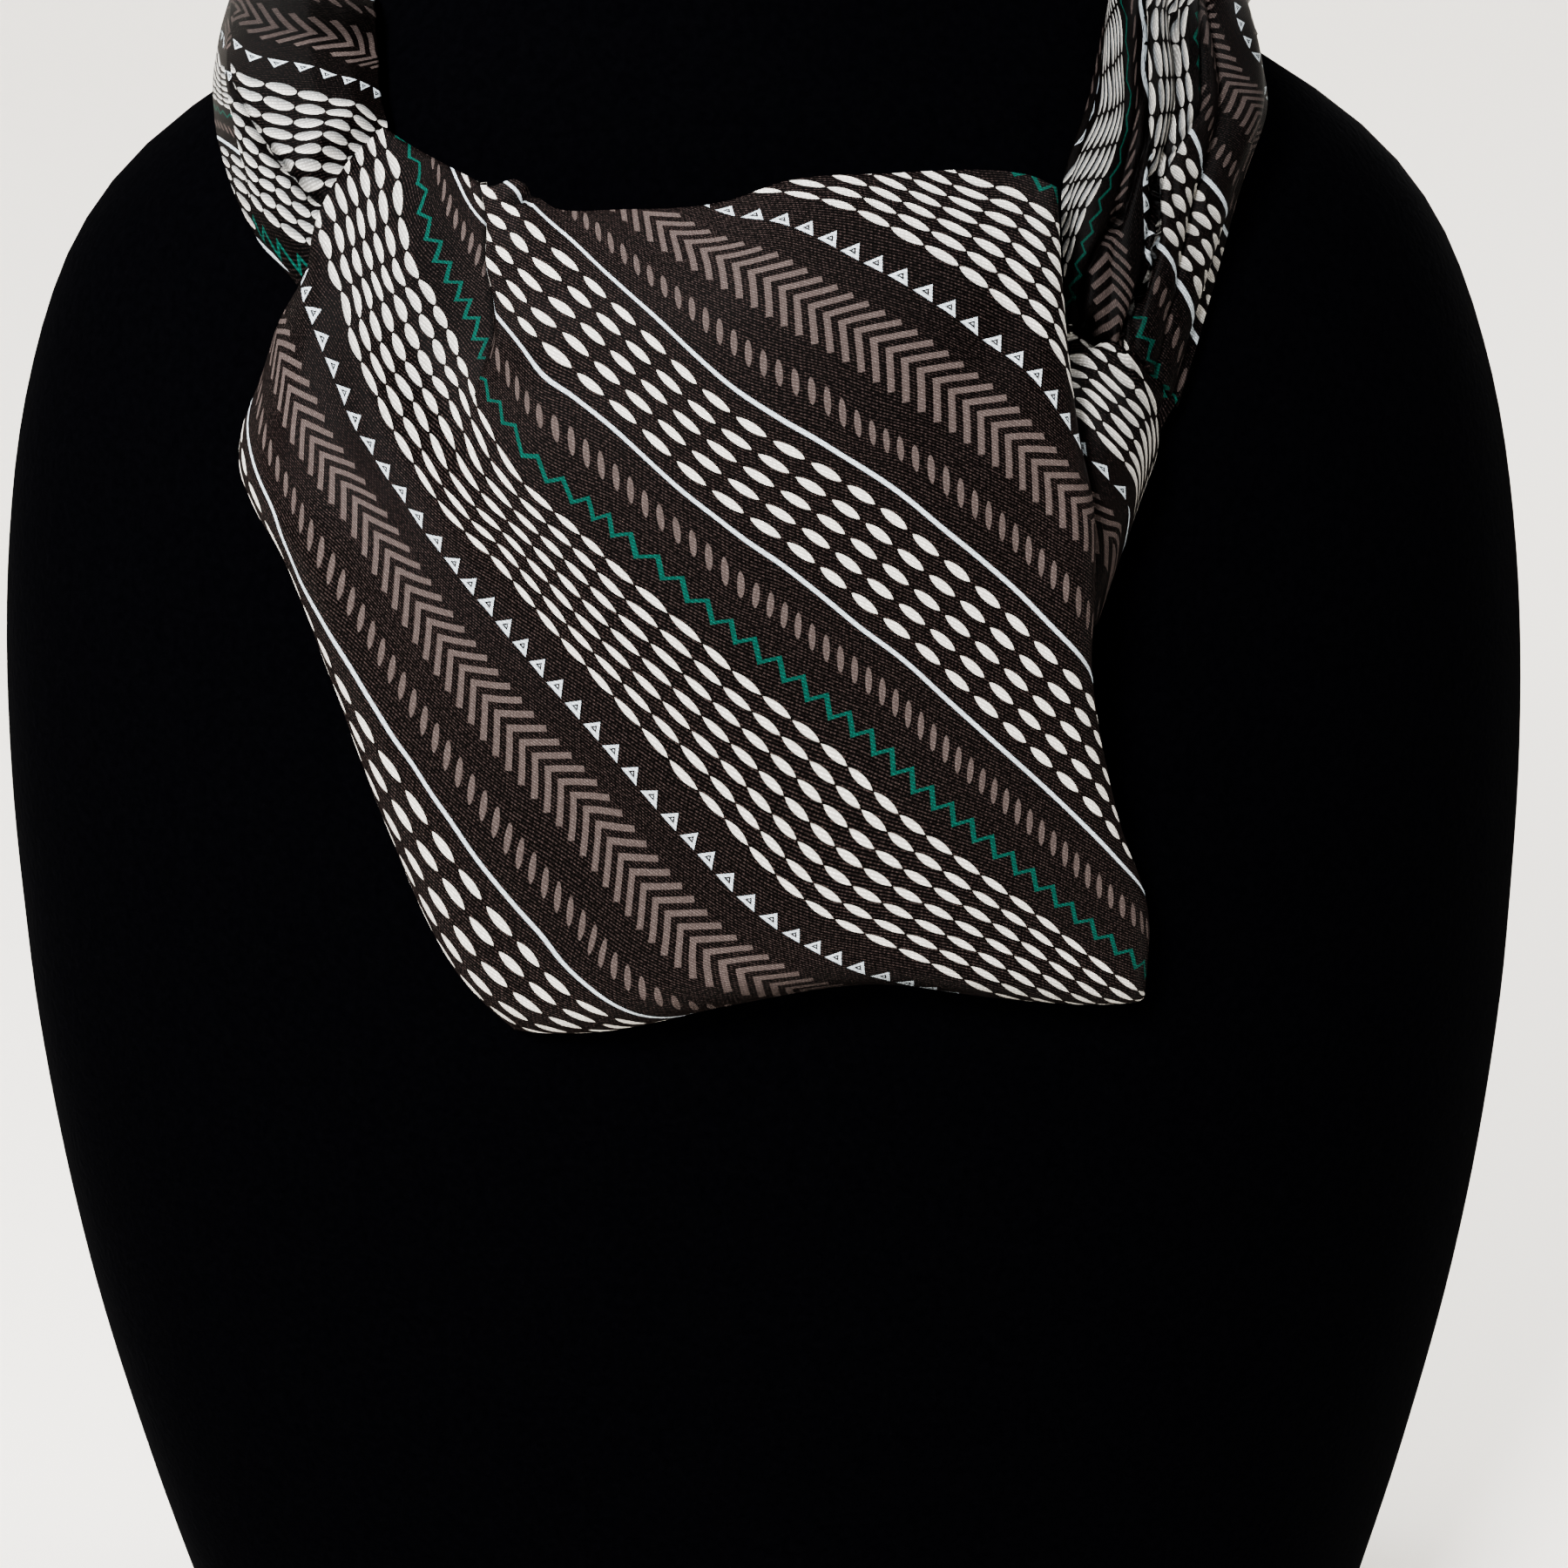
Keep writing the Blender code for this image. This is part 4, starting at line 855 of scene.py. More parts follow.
rightBand = {
    "node": "right_neckband",
    "held": "gathered",
    "flat": (0.062, 0.162),
    "area": 0.0075,
    "restsOn": ["velvet_bust"],
    "borders": [  # four panels from the neck's side outward; each border hides cloth in a pleat
        [
            (1311, 0), (1312, 110), (1313, 165), (1304, 200), (1290, 240), (1259, 280), (1247, 310),
            (1240, 340), (1234, 370), (1229, 400),
        ],
        [
            (1313, 0), (1314, 110), (1319, 165), (1327, 200), (1330, 240), (1329, 280), (1320, 312),
            (1311, 340), (1302, 360), (1293, 380), (1284, 405),
        ],
        [
            (1379, 0), (1382, 60), (1381, 130), (1368, 158), (1340, 176), (1330, 200), (1331, 240),
            (1330, 280), (1321, 312), (1312, 340), (1303, 360), (1294, 380), (1285, 405),
        ],
    ],
    "borderLimits": (0.02, 0.98),
    "spans": (34, 26, 34, 50),
    "grains": (1.0, 1.35, 1.4, 1.75),
    "outerFullness": 0.6,
    # painted shade over the whole gathered stretch
    "paintedDimming": 0.55,
    "gathers": {
        "roundness": 0.78,
        "flatColumns": 15,
        "alongPlaces": [7.0, 8.0, 9.0, 11.0, 13.0, 15.0, 16.0],
        "amounts": [0.0, 0.3, 0.6, 0.8, 1.0, 1.0, 0.5],
        "columns": ("start", "end", "share", "spans"),
        "rows": [
            (0.04, 0.26, 0.26, 22), (0.26, 0.44, 0.3, 22), (0.44, 0.64, 0.34, 24),
            (0.64, 0.87, 0.3, 24),
        ],
    },
    "pleats": [  # pixels from and to, width in pixels, height in millimetres
        (1312, -10, 1315, 172, 3.5, -1.3), (1314, 165, 1290, 240, 4, -1.0),
        (1292, 236, 1246, 312, 5, -1.6), (1246, 305, 1232, 385, 6, -1.8),
        (1322, 170, 1330, 285, 4, -1.2), (1330, 275, 1300, 365, 5, -1.4),
        (1304, 355, 1284, 402, 6, -1.4), (1381, -10, 1383, 132, 4, -1.1),
        (1382, 125, 1334, 182, 4, -0.9), (1347, -10, 1353, 90, 3, -0.8),
        (1244, 362, 1262, 402, 13, -3.2), (1292, 60, 1292, 160, 3, -0.5),
        (1278, 40, 1276, 150, 2.5, -0.5), (1330, 20, 1332, 140, 3, 0.4), (1364, 20, 1366, 140, 3, 0.4),
        (1345, 200, 1352, 250, 4, -0.6), (1366, 250, 1378, 300, 4, -0.5),
        (1372, 190, 1388, 240, 5, 0.5), (1338, 300, 1352, 370, 5, 0.5), (1316, 380, 1334, 440, 5, -0.5),
    ],
    "panels": [
        [
            (4.3, [(1272, 30), (1271, 90), (1264, 120), (1252, 146), (1240, 172), (1226, 195)]),
            (15.5, [(1285, 20), (1289, 60), (1290, 110), (1290, 140), (1285, 165), (1272, 188),
                (1260, 215), (1247, 242), (1238, 262)]),
            (18.85, [(1290, 30), (1294, 90), (1295, 125), (1293, 150), (1289, 170), (1278, 193),
                (1267, 217), (1257, 242), (1250, 266), (1242, 290)]),
            (23.9, [(1300, 40), (1302, 103), (1303, 140), (1299, 170), (1295, 191), (1288, 213),
                (1283, 233)]),
            (28.4, [(1307, 0), (1307, 67), (1310, 93), (1312, 133), (1312, 167), (1307, 197)]),
        ],
        [
            (-9.4, [(1269, 274), (1273, 294), (1275, 318), (1279, 338), (1284, 358)]),
            (0.0, [(1318, 197), (1318, 228), (1318, 262), (1318, 293)]),
        ],
        [
            (4.3, [(1318, 10), (1318, 60), (1319, 110), (1323, 150)]),
            (15.5, [(1366, 10), (1369, 60), (1370, 110), (1366, 145)]),
            (18.85, [(1374, 20), (1377, 60), (1378, 100)]),
        ],
        [
            (18.85, [(1310, 360), (1311, 378), (1315, 392), (1320, 410), (1331, 432), (1339, 455)]),
            (23.9, [(1323, 324), (1334, 336), (1339, 354), (1343, 372), (1348, 392), (1355, 410)]),
            (28.4, [(1330, 282), (1344, 300), (1356, 320), (1362, 342), (1366, 360), (1372, 380)]),
            (43.6, [(1370, 165), (1380, 178), (1388, 198), (1396, 212), (1400, 227)]),
            (48.0, [(1385, 133), (1392, 150), (1398, 168), (1405, 185), (1413, 197)]),
            (57.2, [(1385, 28), (1397, 48), (1408, 67), (1420, 87), (1430, 107), (1438, 128)]),
            (66.6, [(1393, 7), (1408, 27), (1422, 48), (1433, 68), (1447, 90)]),
        ],
    ],
}


def bandSections():
    sections = [np.array(band["crease"]) + np.array(band["creaseStep"])]
    sections += [np.array(band[name]) for name in ("turn", "lap", "collar")]
    for angle, height, napeShare, reach in band["rear"]["rows"]:
        turn = math.radians(angle)
        fold = np.array(band["sideFold"]) * (1 - napeShare) + np.array(band["napeFold"]) * napeShare
        out = fold[0, 0] + (fold[:, 0] - fold[0, 0]) * reach
        x = (band["neckHalf"][0] + out) * math.cos(turn)
        y = (band["neckHalf"][1] + out) * math.sin(turn)
        sections.append(np.stack([x, y, height + fold[:, 1]], axis=-1))
    names = ("collarRight", "lapRight", "turnRight", "endRight")
    return np.array(sections + [np.array(band[name]) for name in names])


def acrossBand(lines, columns):
    places = np.arange(lines.shape[1])
    return np.moveaxis(smoothCurve(places, np.moveaxis(lines, 1, 0), columns * places[-1]), 0, 1)


def straightAcross(lines, columns):
    place = columns * (lines.shape[1] - 1)
    low = np.clip(np.floor(place).astype(int), 0, lines.shape[1] - 2)
    share = (place - low)[None, :, None]
    return lines[:, low] * (1 - share) + lines[:, low + 1] * share


def gatherColumns():
    gathers = rightBand["gathers"]
    columns, pleat, rounding = [0.0], [0], [0.0]
    floor = math.sqrt(1 - gathers["roundness"])
    for number, (start, end, _, spans) in enumerate(gathers["rows"]):
        place = np.linspace(-1, 1, 3 * spans + 1)[:-1]
        columns.extend(start + (end - start) * (place + 1) / 2)
        pleat.extend([number] * len(place))
        rounding.extend((np.sqrt(1 - gathers["roundness"] * place**2) - floor) / (1 - floor))
    flat = np.linspace(gathers["rows"][-1][1], 1, gathers["flatColumns"])
    columns.extend(flat)
    pleat.extend([0] * len(flat))
    rounding.extend([0.0] * len(flat))
    return np.array(columns), np.array(pleat), np.array(rounding)


def gatheredBand(lines, along):
    gathers = rightBand["gathers"]
    columns, pleat, rounding = gatherColumns()
    ends = np.array([row[:2] for row in gathers["rows"]])
    sides = acrossBand(lines, ends.ravel()).reshape(len(lines), len(ends), 2, 3)
    width = np.linalg.norm(sides[:, :, 1] - sides[:, :, 0], axis=-1)
    amount = np.interp(along, gathers["alongPlaces"], gathers["amounts"])
    raised = amount[:, None] * (np.array(column(gathers, "share")) * width)[:, pleat] * rounding
    grid = acrossBand(lines, columns)
    return clearOfBust(grid + surfaceNormals(grid) * raised[..., None], onBust), columns


# The band's facets, crisper at its lines than a smooth curve through them.
def plainBand(lines):
    columns = np.linspace(0, 1, band["fineColumns"])
    straight, curved = straightAcross(lines, columns), acrossBand(lines, columns)
    return curved + (straight - curved) * band["crispness"], columns


# Where each of the grid's rows crosses a border that is given in pixels of the frame.
def borderColumns(grid, columns, border, low, high):
    pixels = inFrame(grid)
    borderX, borderY = np.transpose(border)
    off = pixels[..., 0] - np.interp(pixels[..., 1], borderY, borderX)
    change = off * off[:, :1] < 0
    first = np.where(change.any(axis=1), change.argmax(axis=1), len(columns) - 1)
    seen = (pixels[:, len(columns) // 2, 1] > band["aboveFrame"]) & change.any(axis=1)
    rows = np.arange(len(grid))
    place = np.interp(rows, rows[seen], columns[first][seen])
    reach = band["borderSmooth"]
    spread = np.pad(place, reach, mode="edge")
    place = np.convolve(spread, np.ones(2 * reach + 1) / (2 * reach + 1), mode="valid")
    return np.clip(place, low, high)


# The same surface with its columns moved so that some of them follow the borders.
def recut(grid, columns, borders, spans):
    ends = np.stack([np.zeros(len(grid)), *borders, np.ones(len(grid))], axis=-1)
    for i in range(1, ends.shape[1]):
        ends[:, i] = np.maximum(ends[:, i], ends[:, i - 1] + band["leastPanel"])
    ends /= ends[:, -1:]
    count = np.cumsum([0, *spans])
    places = [np.interp(np.arange(count[-1] + 1), count, row) for row in ends]
    moved = [[np.interp(place, columns, row[:, axis]) for axis in range(3)]
             for place, row in zip(places, grid)]
    return np.moveaxis(np.array(moved), 1, -1), count


# Along the band's middle line and across it, as if it were laid flat.
def bandFlat(grid):
    middle = grid[:, grid.shape[1] // 2]
    along = counted(np.linalg.norm(np.diff(middle, axis=0), axis=-1), 0)
    across = counted(np.linalg.norm(np.diff(grid, axis=1), axis=-1), 1)
    return np.stack([np.broadcast_to(along[:, None], across.shape), across], axis=-1)


# The print's two fields round the whole band, before the folds move it.
def bandBase(net, leftValue):
    length = band["turnEnd"] - band["turnStart"]
    share = ease((latticePoints(net)[..., 0] - band["turnStart"]) / length)
    turn = (share - 1) * np.pi / 2
    slopesU = np.stack([np.cos(turn), -np.sin(turn)], axis=-1)
    slopesV = np.stack([np.sin(turn), np.cos(turn)], axis=-1)
    u, v = [fitField(net, [[0.0, 0.0]], [value], slopes, 1.0, 1.0, 0.01)
            for value, slopes in ((0.0, slopesU), (leftValue, slopesV))]
    return {"u": u, "v": v, "slopes": slopesV}


# One panel's print: through its courses, and joined to the base where that is known.
def bandPanel(net, base, grid, flat, part, courses, known, grain):
    points, values = seenPlaces(grid[:, part], flat[:, part], courses)
    places, reach = latticePoints(net)[known], latticePoints(net)[..., :1]
    v = fitField(net, np.concatenate([points, places]), np.concatenate([values, base["v"][known]]),
                 base["slopes"], band["slopeShare"], band["courseShare"], band["courseStiffness"])
    if known[-1, 0]:  # the left stretch: its grain fades out towards the back
        share = ease(1 - reach / band["leftKnown"])
    else:
        share = ease((reach - band["backKnown"]) / band["grainFade"])
    slopes = alongSlopes(net, v, band["stretch"]) * (1 + (grain - 1) * share)
    u = fitField(net, places, base["u"][known], slopes, 1.0, 1.0, band["alongStiffness"])
    return readField(net, u, flat), readField(net, v, flat)


def bandPanels(net, base, grid, flat, form, count, known):
    panels = []
    for i, courses in enumerate(form["panels"]):
        part = slice(count[i], count[i + 1] + 1)
        fields = bandPanel(net, base, grid, flat, part, courses, known, form["grains"][i])
        panels.append((count[i], count[i + 1], *fields))
    return panels


def makeBands():
    ends, rows, gap = band["ends"], band["rowCounts"], band["seamStep"]
    starts = (ends[0], ends[1] + gap, ends[2] + gap)
    stops = (ends[1] - gap, ends[2] - gap, ends[3])
    along = np.concatenate([np.linspace(*stretch) for stretch in zip(starts, stops, rows)])
    left, back = rows[0], rows[0] + rows[1]
    sections = bandSections()
    lines = smoothCurve(np.arange(len(sections)), sections, along)

    # the first row goes under the blade's edge
    down = np.linspace(0, *band["underBlade"])
    edge = bladePoint(np.zeros(len(down)), down)
    joint = np.interp(-lines[0, :, 2], -edge[:, 2], down)
    joint = np.maximum.accumulate(joint + band["jointStep"] * np.arange(len(joint)))
    under = bladePoint(np.zeros(len(joint)), joint) + np.array(band["underEdge"])
    fade = (1 - ease(along[:, None] / np.linspace(*band["jointReach"], len(joint))))[..., None]
    lines = clearOfBust(lines + (under - lines[0]) * fade, cloth["solidWall"] + cloth["bandGap"])

    plain, columns = plainBand(lines)
    borders = [borderColumns(plain[:left], columns, leftBand[name], *leftBand[name + "Limits"])
               for name in ("valley", "ridge")]
    plain, count = recut(plain[:left], columns, borders, leftBand["spans"])
    plainFlat = bandFlat(plain)
    plainWorn, plainPaintedShade = pressed(plain, leftBand["valleyPress"])
    # Painted shade: the valley's furrows, and darker towards the top of the frame.
    start, reach, share = leftBand["paintedDimming"]
    plainPaintedShade = np.maximum(plainPaintedShade, share * ease((start - inFrame(plain)[..., 1]) / reach))
    plainWorn = clearOfBust(plainWorn, onBust)

    gathered, columns = gatheredBand(lines, along)
    borders = [borderColumns(gathered[back:], columns, border, *rightBand["borderLimits"])
               for border in rightBand["borders"]]
    borders = [np.concatenate([np.full(back, border[0]), border]) for border in borders]
    smooth = recut(acrossBand(lines, columns), columns, borders, rightBand["spans"])[0]
    gathered, rightCount = recut(gathered, columns, borders, rightBand["spans"])
    gatheredFlat = bandFlat(smooth)
    # Painted shade: the pleats' furrows, the tight folds, and a painted dimming over the whole gathered
    # stretch.
    gatheredWorn, gatheredPaintedShade = pressed(gathered, rightBand["pleats"])
    gatheredPaintedShade = np.maximum(gatheredPaintedShade, tightFolds(gathered))
    gatheredPaintedShade = rightBand["paintedDimming"] + (1 - rightBand["paintedDimming"]) * gatheredPaintedShade
    gatheredWorn = clearOfBust(gatheredWorn, onBust)
    gatheredFull = np.ones(gathered.shape[1])
    gatheredFull[rightCount[3] + 1:] = rightBand["outerFullness"]

    both = np.concatenate([plainFlat.reshape(-1, 2), gatheredFlat.reshape(-1, 2)])
    net = makeLattice(both, lattice["bandStep"])
    firstPlaces, firstValues = seenPlaces(plain[:, :count[1]], plainFlat[:, :count[1]],
                                          leftBand["panels"][0])
    base = bandBase(net, (firstValues + firstPlaces[:, 0]).mean())
    reach = latticePoints(net)[..., 0]
    panels = bandPanels(net, base, plain, plainFlat, leftBand, count, reach > band["leftKnown"])
    makeSheet(leftBand, plainWorn, panels, leftBand["fullness"], plainPaintedShade)
    panels = bandPanels(net, base, gathered, gatheredFlat, rightBand, rightCount,
                        reach < band["backKnown"])
    for form, start, end in ((backBand, left, back), (rightBand, back, len(along))):
        laid = [(first, last, u[start:end], v[start:end]) for first, last, u, v in panels]
        makeSheet(form, gatheredWorn[start:end], laid, gatheredFull, gatheredPaintedShade[start:end])
    return gatheredWorn[-1]


# The puff is where the gathered stretch turns under the blade.
puff = {
    "node": "right_tuck",
    "held": "folded",
    "flat": (0.022, 0.039),
    "area": 0.00074,
    "restsOn": ["velvet_bust"],
    "underBand": (-0.2, 1.2, 0.9),
    "grid": (60, 70),
    "dataShare": 4.0,
    "stiffness": 1.0,
    "latticeStep": 4.0,
    "fullness": 0.6,
    # painted shade over the whole puff
    "paintedDimming": 0.4,
    "rows": [  # each section runs hiddenSide, inner, face, outer, flank, foot
        [
            (40.0, -52.0, 248.4), (43.5, -52.4, 248.2), (47.0, -52.4, 246.8), (50.0, -51.4, 244.2),
            (51.6, -50.2, 241.6), (52.2, -49.0, 239.8),
        ],
        [
            (39.0, -54.5, 244.8), (42.5, -56.8, 245.0), (46.0, -57.4, 243.6), (49.2, -56.0, 240.8),
            (51.2, -53.6, 238.2), (52.2, -50.6, 236.6),
        ],
        [
            (37.5, -57.0, 239.0), (41.2, -60.6, 239.5), (44.8, -62.2, 238.6), (48.4, -60.2, 236.4),
            (50.6, -56.6, 234.6), (51.6, -52.8, 233.6),
        ],
        [
            (37.0, -57.0, 231.0), (40.6, -61.0, 231.0), (44.0, -62.6, 230.4), (47.0, -61.0, 229.4),
            (48.6, -58.0, 228.6), (49.4, -54.6, 228.4),
        ],
        [
            (36.8, -58.0, 222.5), (39.8, -60.8, 222.5), (42.4, -62.2, 222.0), (44.5, -61.4, 221.4),
            (45.9, -59.2, 221.0), (46.6, -56.4, 221.0),
        ],
        [
            (36.6, -58.0, 213.5), (38.8, -59.8, 213.3), (40.6, -60.8, 213.0), (42.1, -60.4, 212.6),
            (43.1, -59.2, 212.4), (43.7, -57.6, 212.4),
        ],
    ],
    "courses": [
        (-9.4, [(1250, 565), (1265, 600), (1272, 640), (1282, 680)]),
        (0.0, [(1247, 517), (1263, 538), (1280, 565)]),
        (4.3, [(1243, 473), (1271, 496), (1291, 534), (1298, 567)]),
        (8.0, [(1236, 446), (1257, 460), (1280, 484), (1300, 514), (1306, 545)]),
        (9.9, [(1242, 434), (1264, 456), (1288, 480), (1308, 508)]),
        (11.8, [(1258, 430), (1280, 454), (1302, 482)]),
        (13.6, [(1274, 426), (1296, 448), (1312, 476)]),
        (15.5, [(1288, 412), (1310, 444), (1326, 472)]),
        (18.85, [(1313, 400), (1320, 412), (1331, 432), (1339, 455)]),
    ],
}


def smoothAlong(sections, steps):
    last = len(sections) - 1
    return smoothCurve(np.arange(last + 1), sections, np.linspace(0, last, steps))


def makePuff(bandEnd):
    rows = np.array(puff["rows"])
    shares, ends = np.linspace(0, 1, rows.shape[1]), np.linspace(0, 1, len(bandEnd))
    joint = np.stack([np.interp(shares, ends, bandEnd[:, axis]) for axis in range(3)], axis=-1)
    rows[0] = joint + np.array(puff["underBand"])
    grid = smoothAlong(np.moveaxis(smoothAlong(rows, puff["grid"][1]), 1, 0), puff["grid"][0])
    across = counted(np.linalg.norm(np.diff(grid, axis=0), axis=-1), 0)
    run = counted(np.linalg.norm(np.diff(grid, axis=1), axis=-1), 1)
    flat = np.stack([across, -run], axis=-1)
    net = makeLattice(flat, puff["latticeStep"])
    points, values = seenPlaces(grid, flat, puff["courses"])
    fields = printFields(net, points, values, (), puff["dataShare"], puff["stiffness"])
    # Painted shade: the pleats' furrows, and a painted dimming over the whole puff.
    grid, paintedShade = pressed(grid, rightBand["pleats"])
    panel = (0, grid.shape[1] - 1, *[readField(net, field, flat) for field in fields])
    return makeSheet(puff, clearOfBust(grid, onBust), [panel], puff["fullness"],
                     np.maximum(paintedShade, puff["paintedDimming"]))


# The tail lies behind the blade.
tail = {
    "node": "under_blade",
    "held": "draped",
    "flat": (0.094, 0.086),
    "area": 0.0073,
    "restsOn": ["velvet_bust"],
    "gap": 0.5,
    "grid": (50, 50),
    "printTurn": 40.0,
    "printStart": 3.0,
    "rows": [  # z, left, right
        (254.0, -50.0, 30.0), (235.0, -58.0, 32.5), (215.0, -54.0, 34.5), (200.0, -50.0, 43.0),
        (190.0, -46.0, 46.5), (174.0, -38.0, 42.0),
    ],
}


def makeTail():
    rows = np.array(tail["rows"])
    z = np.linspace(rows[0, 0], rows[-1, 0], tail["grid"][1])
    sides = smoothCurve(-rows[:, 0], rows[:, 1:], -z)
    across = np.linspace(0, 1, tail["grid"][0])
    x = sides[:, :1] * (1 - across) + sides[:, 1:] * across
    z = np.repeat(z[:, None], len(across), axis=1)
    grid = np.stack([x, bustFront(x, z) - (cloth["solidWall"] + tail["gap"]), z], axis=-1)
    turn, below = math.radians(tail["printTurn"]), z - rows[-2, 0]
    u = x * math.cos(turn) - below * math.sin(turn)
    v = x * math.sin(turn) + below * math.cos(turn) + tail["printStart"]
    return makeSheet(tail, grid, [(0, grid.shape[1] - 1, u, v)])


printLayout = {
    "repeat": 66.6,  # places across the repeat, in millimetres
    "dense": {
        "start": 4.3,
        "pitch": 1.87,
        "count": 7,
        "period": 4.95,
        "length": 4.75,
        "width": 0.86,
        "shift": -0.47,
        "roundness": 0.85,
    },
    "sparse": {
        "start": 30.95,
        "pitch": 2.47,
        "count": 5,
        "period": 5.4,
        "length": 4.5,
        "width": 1.16,
        "shift": 0.27,
        "roundness": 0.78,
    },
    "zigzag": {"place": 18.85, "period": 3.85, "height": 0.82, "rise": 0.36, "width": 0.7},
    "lines": {"places": (28.4, 43.6), "width": 0.5},
    "greyOvals": {
        "places": (23.9, 48.0),
        "period": 2.35,
        "length": 3.6,
        "width": 0.92,
        "roundness": 0.5,
    },
    "chevrons": {"place": 57.2, "period": 2.35, "slope": 0.86, "reach": 4.15, "width": 0.48},
    "triangles": {
        "place": 66.6,
        "period": 3.55,
        "base": 2.75,
        "height": 1.8,
        "hole": 0.42,
        "dot": 0.3,
        "below": 0.42,
    },
    "softness": 0.05,
    "swell": 0.7,
    "bluntness": 0.5,
    # painted shade across each oval row where the cloth is full: its slope and power
    "ribShadeSlope": 1.8,
    "ribShadePower": 1.4,
}
twill = {
    "pitch": 0.36,
    "turn": -14.0,
    "fineness": 2.0,
    "stitch": 0.5,
    "dots": 0.6,
    "shade": 0.6,
    "slubs": 2.2,
    "uneven": 1.1,
    # painted shade: how much fullness and sunk darken the colour, and fullness the ground threads
    "gatheredShade": 0.08,
    "paintedShadeStrength": 0.93,
    "fullGroundShade": 0.75,
    "relief": (0.25, 0.0001),  # strength and depth
    "rough": (0.12, 0.52),  # share of the thread, and least
    "gloss": 0.01,
    "colours": {
        "ground": (0.0002, 0.0001, 0.0001),
        "groundThread": (0.019, 0.0125, 0.0115),
        "white": (0.88, 0.83, 0.75),
        # painted shade on the dark side of each oval row
        "ribShadeSide": (0.13, 0.14, 0.15),
        "grey": (0.066, 0.049, 0.045),
        "pale": (0.62, 0.7, 0.76),
        "teal": (0.0, 0.046, 0.033),
    },
}


# Short words for maths nodes in one node tree.
class nodeMaths:
    words = {"add": "ADD", "less": "SUBTRACT", "times": "MULTIPLY", "over": "DIVIDE",
             "size": "ABSOLUTE", "most": "MAXIMUM", "least": "MINIMUM", "power": "POWER"}

    def __init__(self, tree):
        self.tree = tree
        for word, operation in self.words.items():
            setattr(self, word, partial(self.do, operation))

    def do(self, operation, *values, clamp=False):
        node = self.tree.nodes.new("ShaderNodeMath")
        node.operation = operation
        node.use_clamp = clamp
        for socket, value in zip(node.inputs, values):
            if isinstance(value, (int, float)):
                socket.default_value = value
            else:
                self.tree.links.new(value, socket)
        return node.outputs[0]

    def line(self, value, slope, start, clamp=False):
        return self.do("MULTIPLY_ADD", value, slope, start, clamp=clamp)

    # distance from the nearest whole period, below or above
    def around(self, value, period):
        return self.do("WRAP", value, period / 2, -period / 2)

    # 1 where distance is below 0, with a soft edge
    def inside(self, distance):
        return self.line(distance, -0.5 / printLayout["softness"], 0.5, clamp=True)

    # inside of a pointed oval, which is wider and blunter where the cloth is full
    def lens(self, along, across, form, full):
        blunt = self.line(full, -printLayout["bluntness"] * form["roundness"], form["roundness"])
        share = self.over(along, form["length"] / 2)
        curve = self.most(self.less(1.0, self.times(share, share)), 0.0)
        edge = self.times(self.power(curve, blunt), form["width"] / 2)
        edge = self.times(edge, self.line(full, printLayout["swell"], 1.0))
        edge = self.less(edge, printLayout["softness"])
        return self.inside(self.less(self.size(across), edge))


